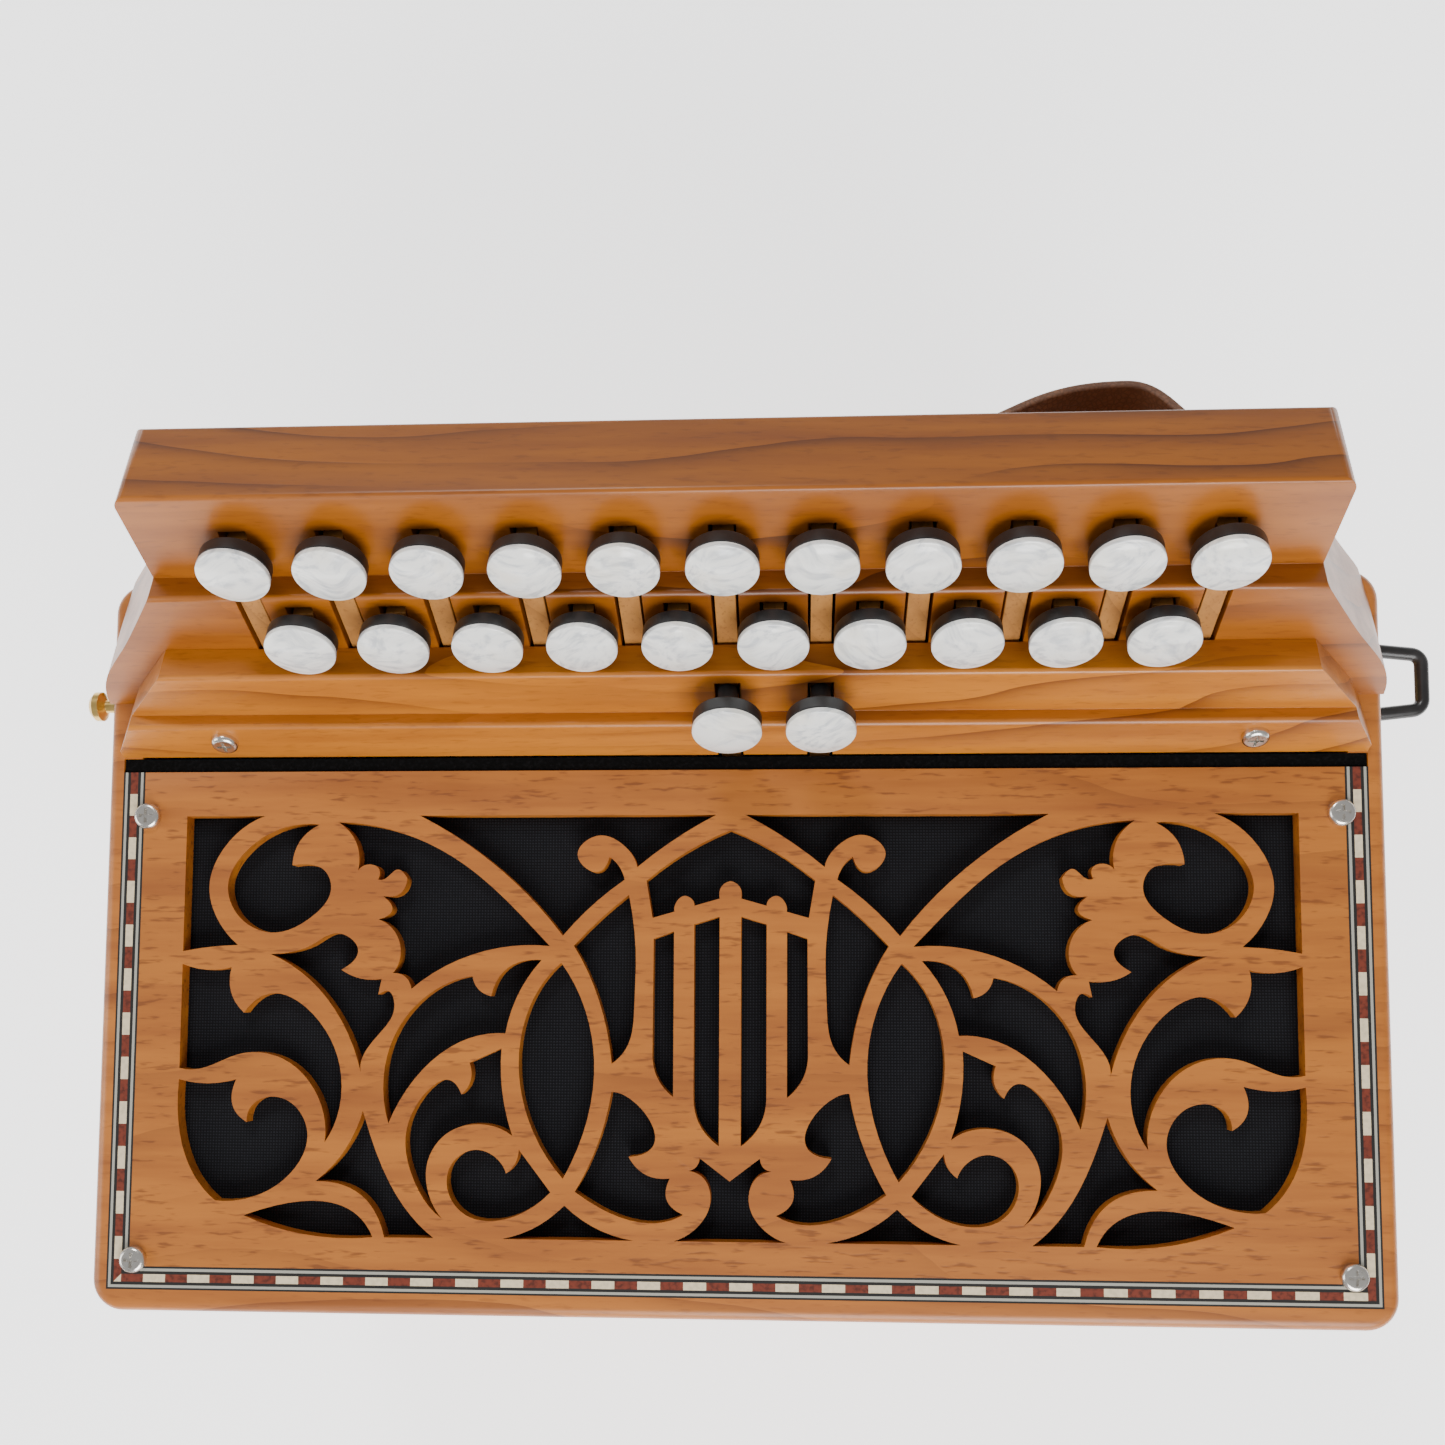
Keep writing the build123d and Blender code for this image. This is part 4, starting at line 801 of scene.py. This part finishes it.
@dataclass
class Woodwork:
    """The wooden shells: both cases, their frames, the panels, the grille and the keyboard."""

    edge: float = 0.5 * MM
    fret_edge: float = 0.15 * MM
    case: WoodFinish = WoodFinish("cherry_case", 0.42, tilt=(0.5, 0.0, 0.02))
    board: WoodFinish = WoodFinish(
        "cherry_keyboard", 0.36, light=(0.38, 0.115, 0.007), dark=(0.23, 0.060, 0.003),
        line=(0.07, 0.014, 0.001), lines_per_m=70.0, waviness=1.3, line_depth=0.95, tilt=(0.25, 0.0, 0.015),
    )
    apron: WoodFinish = WoodFinish(
        "cherry_apron", 0.36, light=(0.54, 0.185, 0.016), dark=(0.36, 0.105, 0.008),
        line=(0.13, 0.028, 0.003), lines_per_m=85.0, waviness=1.6, line_depth=0.85, tilt=(-0.35, 0.0, -0.02),
    )
    grille: WoodFinish = WoodFinish(
        "cherry_grille", 0.45, light=(0.47, 0.155, 0.018), dark=(0.29, 0.080, 0.008),
        line=(0.13, 0.032, 0.004), lines_per_m=40.0, waviness=0.8, line_depth=0.35, fleck_depth=0.65,
        fleck_size=0.8, varnish=0.1,
    )
    reed: WoodFinish = WoodFinish(
        "spruce", 0.6, light=(0.66, 0.46, 0.24), dark=(0.50, 0.31, 0.14), line=(0.34, 0.18, 0.07),
        lines_per_m=600.0, waviness=0.3, line_depth=0.5, varnish=0.0,
    )

    def build(self) -> None:
        """Dress every wooden node and round the edges that show."""
        case, board, apron, grille, reed = (
            finish.build() for finish in (self.case, self.board, self.apron, self.grille, self.reed)
        )
        shown = (
            ("treble_case", "treble_end", "case_wood", case, self.edge),
            ("treble_bellows_frame", "treble_end", "case_wood", case, self.edge),
            ("bass_case", "bass_end", "case_wood", case, self.edge),
            ("bass_bellows_frame", "bass_end", "case_wood", case, self.edge),
            ("bass_end_panel", "bass_end", "grille_wood", grille, self.edge),
            ("bass_button_board", "bass_end", "board_wood", board, self.edge),
            ("keyboard_board", "treble_end", "board_wood", board, self.edge),
            ("keyboard_apron", "treble_end", "board_wood", apron, self.edge),
            ("grille_plate", "treble_end", "grille_wood", grille, self.fret_edge),
        )
        for node, body, slot, material, width in shown:
            piece = new_object(f"{node}_wood", merged_copy(node), material)
            soften(piece, width)
            settle(piece, body, slot, node)
        for node in ("pallet_board", "treble_reed_blocks", "bass_sound_board", "bass_reed_blocks"):
            paint(node, reed)


def paint(node: str, material: bpy.types.Material) -> None:
    """Give a frame node a finish of its own.

    Args:
        node: The node's name.
        material: The finish.
    """
    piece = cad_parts[node]
    piece.data.materials.clear()
    piece.data.materials.append(material)
    LOG.info("%s painted %s", node, material.name)


@dataclass
class Grille:
    """What lies in and under the fretwork: the inlay, the gauze and the felt strip."""

    sag: float = 0.12 * MM
    ripples: int = 9
    trim: float = 0.4 * MM
    thickness: float = 0.2 * MM
    cells: tuple[int, int] = (60, 24)
    cloth: ClothFinish = ClothFinish(
        "black_gauze", 0.9, colour=(0.002, 0.002, 0.003), thread=(0.014, 0.015, 0.019)
    )

    def inlay(self) -> None:
        """Dress the inlay round the plate's edge."""
        low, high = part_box("grille_inlay")
        paint("grille_inlay", InlayFinish("edge_inlay", 0.3, low=low, high=high).build())

    def gauze(self) -> None:
        """Stretch the black gauze under the fretwork."""
        low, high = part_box("grille_cloth")
        middle = (low + high) / 2
        size = high - low
        bm = bmesh.new()
        bmesh.ops.create_grid(bm, x_segments=self.cells[0], y_segments=self.cells[1], size=0.5)
        bmesh.ops.scale(bm, vec=(size.x - self.trim, size.y - self.trim, 1), verts=bm.verts)
        for vert in bm.verts:
            u, v = vert.co.x / size.x, vert.co.y / size.y
            vert.co.z = self.sag * math.sin(self.ripples * math.tau * u + 2 * v) * math.cos(math.pi * v)
        bmesh.ops.translate(bm, vec=middle, verts=bm.verts)
        cloth = new_object("grille_gauze", bm, self.cloth.build())
        solid = cloth.modifiers.new("thickness", "SOLIDIFY")
        solid.thickness = self.thickness
        solid.offset = 0.0
        settle(cloth, "treble_end", "black_gauze", "grille_cloth")

    def build(self) -> None:
        """Build the three."""
        self.inlay()
        self.gauze()
        paint("felt_strip", FeltFinish("black_felt", 0.95).build())


@dataclass
class Keyboard:
    """The treble keys, each a lever, a black base, a pearl, and a pallet with its felt."""

    slope: float = math.radians(64.6)
    radius: float = 7.4 * MM
    crown: float = 1.6 * MM
    edge: float = 1.2 * MM
    base_depth: float = 3.1 * MM
    neck_radius: float = 2.2 * MM
    lip: float = 0.35 * MM
    chamfer: float = 0.2 * MM
    base_round: float = 0.5 * MM
    base_inset: float = 0.05 * MM
    dome_steps: int = 8
    sides: int = 48
    lever_edge: float = 0.3 * MM
    pallet_edge: float = 0.4 * MM
    lever: WoodFinish = WoodFinish(
        "lever_wood", 0.5, light=(0.50, 0.22, 0.050), dark=(0.36, 0.145, 0.030), line=(0.17, 0.06, 0.010),
        lines_per_m=160.0, line_depth=0.4, fleck_depth=0.4, axis=GrainAxis.ALONG_Y,
        varnish=0.05,
    )

    def sorted_solids(self, node: str) -> dict[Part, bmesh.types.BMesh]:
        """Tell a key's three lumps apart: the lever, the button above it and the pallet below.

        Args:
            node: The key's node.

        Returns:
            The lumps by part; the button holds pearl and base, the pallet its felt.
        """
        solids = islands(merged_copy(node))
        solids.sort(key=lambda solid: extent(solid)[0].z)
        pallet = solids.pop(0)
        lever = solids.pop(0)
        return {Part.PALLET: pallet, Part.LEVER: lever, Part.BASE: joined(solids)}

    def pearl(self, foot: Vector, normal: Vector) -> bmesh.types.BMesh:
        """The domed pearl cap.

        Args:
            foot: The middle of its foot.
            normal: The way it faces.

        Returns:
            The cap, in place.
        """
        dome = (self.radius ** 2 + self.crown ** 2) / (2 * self.crown)
        reach = math.asin((self.radius - self.lip) / dome)
        drop = dome - self.crown - self.edge
        turns = [reach * (1 - i / self.dome_steps) for i in range(self.dome_steps + 1)]
        sweep = [(dome * math.sin(t), dome * math.cos(t) - drop) for t in turns]
        side = arc((self.radius - self.lip, self.edge - self.lip / 2), self.lip, 0, 60, 3)
        foot_edge = [(self.radius - self.chamfer, 0), (self.radius, self.chamfer)]
        return turned([(0, 0), *foot_edge, *side, *sweep], foot, normal, self.sides)

    def base(self, foot: Vector, neck: float, normal: Vector) -> bmesh.types.BMesh:
        """The black base with its neck.

        Args:
            foot: The middle of the neck's foot.
            neck: The neck's length.
            normal: The way it faces.

        Returns:
            The base, in place.
        """
        top = neck + self.base_depth
        rim = self.radius - self.base_inset
        profile = [(0, 0), (self.neck_radius, 0), (self.neck_radius, neck)]
        profile += arc((rim - self.base_round, neck + self.base_round), self.base_round, -90, 0, 4)
        profile += [(rim, top - self.chamfer), (rim - self.chamfer, top), (0, top)]
        return turned(profile, foot, normal, self.sides)

    def slab(self, low: Vector, high: Vector) -> bmesh.types.BMesh:
        """A plain block.

        Args:
            low: Its lowest corner.
            high: Its highest corner.

        Returns:
            The block.
        """
        bm = bmesh.new()
        bmesh.ops.create_cube(bm, size=1.0)
        bmesh.ops.scale(bm, vec=high - low, verts=bm.verts)
        bmesh.ops.translate(bm, vec=(low + high) / 2, verts=bm.verts)
        return bm

    def build(self) -> None:
        """Build every key."""
        normal = Vector((0, -math.sin(self.slope), math.cos(self.slope)))
        uphill = Vector((0, math.cos(self.slope), math.sin(self.slope)))
        pearl = PearlFinish("pearl", 0.14).build()
        black = PlasticFinish("button_base", 0.4).build()
        lever = self.lever.build()
        felt = FeltFinish("pallet_felt", 0.95, colour=(0.45, 0.42, 0.36), fibre=(0.62, 0.6, 0.54)).build()
        for node in sorted(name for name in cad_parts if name.startswith("treble_key_")):
            solids = self.sorted_solids(node)
            button = solids[Part.BASE]
            heights = [vert.co.dot(normal) for vert in button.verts]
            slopes = [vert.co.dot(uphill) for vert in button.verts]
            low, high = extent(button)
            button.free()
            axis = Vector(((low.x + high.x) / 2, 0, 0)) + uphill * (min(slopes) + max(slopes)) / 2
            foot = axis + normal * (max(heights) - self.edge - self.crown)
            neck = max(heights) - self.edge - self.crown - self.base_depth - min(heights)
            settle(new_object(f"{node}_pearl", self.pearl(foot, normal), pearl), node, "pearl", node)
            base = self.base(foot - normal * (self.base_depth + neck), neck, normal)
            settle(new_object(f"{node}_base", base, black), node, "black_plastic")
            bar = soften(new_object(f"{node}_lever", solids[Part.LEVER], lever), self.lever_edge)
            settle(bar, node, "lever_wood")
            low, high = extent(solids[Part.PALLET])
            levels = sorted({round(vert.co.z, 6) for vert in solids[Part.PALLET].verts})
            solids[Part.PALLET].free()
            block = self.slab(Vector((low.x, low.y, levels[1])), high)
            pallet = soften(new_object(f"{node}_pallet", block, lever), self.pallet_edge)
            settle(pallet, node, "lever_wood")
            pad = self.slab(low, Vector((high.x, high.y, levels[1])))
            settle(new_object(f"{node}_felt", pad, felt), node, "pallet_felt")


@dataclass
class Bellows:
    """The pleated bellows between the two ends."""

    folds: int = 14
    depth: float = 16.0 * MM
    binding: float = 2.6 * MM
    corner: float = 6.0 * MM
    corner_steps: int = 5
    margin: float = 0.05 * MM
    thickness: float = 0.35 * MM
    card: ClothFinish = ClothFinish(
        "bellows_card", 0.7, colour=(0.10, 0.012, 0.014), thread=(0.17, 0.025, 0.025), threads_per_m=900.0
    )
    cover: LeatherFinish = LeatherFinish(
        "bellows_binding", 0.55, colour=(0.010, 0.009, 0.009), worn=(0.028, 0.025, 0.024), pebbles_per_m=1400.0
    )

    def outline(self, half_x: float, half_y: float, z: float) -> tuple[bmesh.types.BMesh, list[bmesh.types.BMEdge]]:
        """The first ring of edges, a rounded rectangle.

        Args:
            half_x: Half its width.
            half_y: Half its depth.
            z: Its height.

        Returns:
            The bmesh and its edges.
        """
        bm = bmesh.new()
        bmesh.ops.create_grid(bm, x_segments=1, y_segments=1, size=1.0)
        bmesh.ops.scale(bm, vec=(half_x, half_y, 1), verts=bm.verts)
        bmesh.ops.translate(bm, vec=(0, 0, z), verts=bm.verts)
        bmesh.ops.delete(bm, geom=bm.faces[:], context="FACES_ONLY")
        bmesh.ops.bevel(bm, geom=bm.verts[:], affect="VERTICES", offset=self.corner, offset_type="OFFSET",
                        segments=self.corner_steps, profile=0.5, material=-1)
        return bm, bm.edges[:]

    def steps(self, z_low: float, z_high: float) -> list[tuple[float, float, int]]:
        """Every ring's inset, height and finish on the way up.

        Args:
            z_low: The lowest ring's height.
            z_high: The highest ring's height.

        Returns:
            A list of (inset, height, material index).
        """
        pitch = (z_high - z_low) / self.folds
        half = self.binding * 0.38
        rings = []
        for fold in range(self.folds):
            middle = z_low + (fold + 0.5) * pitch
            rings += [
                (self.binding, middle - half, 0), (self.binding * 0.35, middle - half, 1),
                (0.0, middle - half * 0.5, 1), (0.0, middle + half * 0.5, 1),
                (self.binding * 0.35, middle + half, 1), (self.binding, middle + half, 1),
                (self.depth, middle + pitch / 2, 0),
            ]
        return rings

    def build(self) -> None:
        """Build the folds and stretch them between the ends."""
        low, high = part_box("bellows")
        z_low, z_high = low.z + self.margin, high.z - self.margin
        bm, ring = self.outline(high.x - self.depth, high.y - self.depth, z_low)
        inset = self.depth
        for next_inset, z, index in self.steps(z_low, z_high):
            before = set(bm.faces)
            made = bmesh.ops.extrude_edge_only(bm, edges=ring)
            ring = [item for item in made["geom"] if isinstance(item, bmesh.types.BMEdge)]
            verts = [item for item in made["geom"] if isinstance(item, bmesh.types.BMVert)]
            for vert in verts:
                vert.co.x += (inset - next_inset) * math.copysign(1, vert.co.x)
                vert.co.y += (inset - next_inset) * math.copysign(1, vert.co.y)
                vert.co.z = z
            for face in set(bm.faces) - before:
                face.material_index = index
            inset = next_inset
        bmesh.ops.recalc_face_normals(bm, faces=bm.faces)
        piece = new_object("bellows_folds", bm, self.card.build(), self.cover.build())
        wall = piece.modifiers.new("thickness", "SOLIDIFY")
        wall.thickness = self.thickness
        wall.offset = -1.0
        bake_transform(piece)
        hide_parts("bellows")
        LOG.info("bellows_folds between the ends")


@dataclass
class Straps:
    """The bass hand strap and the thumb strap."""

    thumb_edge: float = 0.6 * MM
    bass_edge: float = 0.8 * MM
    hide: LeatherFinish = LeatherFinish("brown_leather", 0.5)

    def build(self) -> None:
        """Build both straps in their nodes' shapes, with rounded edges."""
        leather = self.hide.build()
        for node, body, width in (
            ("thumb_strap", "treble_end", self.thumb_edge),
            ("bass_strap", "bass_end", self.bass_edge),
        ):
            strap = soften(new_object(f"{node}_leather", merged_copy(node), leather), width, 3)
            settle(strap, body, "brown_leather", node)


@dataclass
class Fittings:
    """Screws, rings, studs, feet, axles, and the bass and air buttons."""

    button_edge: float = 0.3 * MM
    nickel: MetalFinish = MetalFinish("nickel", 0.22)
    steel: MetalFinish = MetalFinish("drawn_steel", 0.32, colour=(0.52, 0.52, 0.52), age=0.5)
    brass: MetalFinish = MetalFinish("brass", 0.28, colour=(0.70, 0.48, 0.16), tarnish=(0.28, 0.16, 0.05))
    black: PlasticFinish = PlasticFinish("black_enamel", 0.34, colour=(0.015, 0.014, 0.014))
    rubber: PlasticFinish = PlasticFinish("black_rubber", 0.8, colour=(0.018, 0.018, 0.018))
    white: PearlFinish = PearlFinish("white_button", 0.2)

    def build(self) -> None:
        """Dress every fitting."""
        nickel, steel, brass = self.nickel.build(), self.steel.build(), self.brass.build()
        black, rubber, white = self.black.build(), self.rubber.build(), self.white.build()
        plain = (
            ("treble_screws", "treble_end", "nickel", nickel, 0.1 * MM),
            ("bass_screws", "bass_end", "nickel", nickel, 0.1 * MM),
            ("bass_strap_brackets", "bass_end", "nickel", nickel, 0.3 * MM),
            ("strap_fittings", "treble_end", "brass", brass, 0.25 * MM),
            ("feet", "bass_end", "black_rubber", rubber, 0.6 * MM),
            ("strap_ring_left", "strap_ring_left", "black_steel", black, 0.0),
            ("strap_ring_right", "strap_ring_right", "black_steel", black, 0.0),
        )
        for node, body, slot, material, width in plain:
            piece = new_object(f"{node}_finished", merged_copy(node), material)
            if width:
                soften(piece, width)
            settle(piece, body, slot, node)
        for node in ("key_axles", "key_springs"):
            paint(node, steel)
        buttons = [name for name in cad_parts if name.startswith("bass_button_") and name[-1].isdigit()]
        for node in sorted([*buttons, "air_button"]):
            piece = new_object(f"{node}_finished", merged_copy(node), white)
            soften(piece, self.button_edge)
            settle(piece, node, "white_button", node)


@dataclass
class Studio:
    """The pale floor, soft lights and the camera."""

    floor_size: float = 6.0
    floor_colour: Colour = (0.95, 0.95, 0.95)
    floor_glow: float = 1.6
    world: float = 0.42
    camera_place: Vector = field(default_factory=lambda: Vector((0.01521, -0.01356, 0.51766)))
    camera_turn: Euler = field(
        default_factory=lambda: Euler((math.radians(4.475), math.radians(3.342), math.radians(0.251)))
    )
    lens: float = 37.0
    sensor: float = 36.0
    nearest: float = 0.01
    aim: Triple = (0, 0, 0.2)
    shift: tuple[float, float] = (0.0070, 0.1139)

    def floor(self) -> None:
        """Lay the floor under the feet."""
        low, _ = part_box("feet")
        bm = bmesh.new()
        bmesh.ops.create_grid(bm, x_segments=1, y_segments=1, size=self.floor_size / 2)
        bmesh.ops.translate(bm, vec=(0, 0, low.z), verts=bm.verts)
        material = bpy.data.materials.new("studio_floor")
        material.use_nodes = True
        shader = material.node_tree.nodes["Principled BSDF"]
        shader.inputs["Base Color"].default_value = (*self.floor_colour, 1)
        shader.inputs["Roughness"].default_value = 0.9
        shader.inputs["Emission Color"].default_value = (1.0, 1.0, 1.0, 1.0)
        shader.inputs["Emission Strength"].default_value = self.floor_glow
        new_object("studio_floor", bm, material)

    def light(self, name: str, place: Triple, size: float, watts: float) -> None:
        """Hang one soft light and aim it at the object.

        Args:
            name: The light's name.
            place: Where it hangs.
            size: The length of its sides.
            watts: Its strength.
        """
        data = bpy.data.lights.new(name, "AREA")
        data.shape = "SQUARE"
        data.size = size
        data.energy = watts
        lamp = bpy.data.objects.new(name, data)
        lamp.location = place
        beam = Vector(self.aim) - Vector(place)
        lamp.rotation_euler = beam.to_track_quat("-Z", "Y").to_euler()
        bpy.context.scene.collection.objects.link(lamp)

    def camera(self) -> None:
        """Set up the camera over the grille."""
        data = bpy.data.cameras.new("camera")
        data.lens = self.lens
        data.sensor_width = self.sensor
        data.shift_x, data.shift_y = self.shift
        data.clip_start = self.nearest
        eye = bpy.data.objects.new("camera", data)
        eye.location = self.camera_place
        eye.rotation_euler = self.camera_turn
        bpy.context.scene.collection.objects.link(eye)
        bpy.context.scene.camera = eye

    def build(self) -> None:
        """Build the whole stage."""
        self.floor()
        world = bpy.data.worlds.new("studio")
        world.use_nodes = True
        background = world.node_tree.nodes["Background"]
        background.inputs["Color"].default_value = (1.0, 1.0, 1.0, 1.0)
        background.inputs["Strength"].default_value = self.world
        bpy.context.scene.world = world
        self.light("front_light", (0.25, -1.1, 0.95), 0.9, 26.0)
        self.light("rear_light", (-0.3, 1.0, 1.3), 0.35, 8.0)
        self.light("side_light", (-1.3, -0.2, 0.8), 0.7, 7.0)
        self.camera()


def main() -> None:
    """Build the accordion's looks in order."""
    logging.basicConfig(level=logging.INFO, format="%(name)s: %(message)s")
    for assembly in (Studio(), Woodwork(), Grille(), Keyboard(), Bellows(), Straps(), Fittings()):
        LOG.info("building %s", type(assembly).__name__)
        assembly.build()


if __name__ == "__main__":
    main()
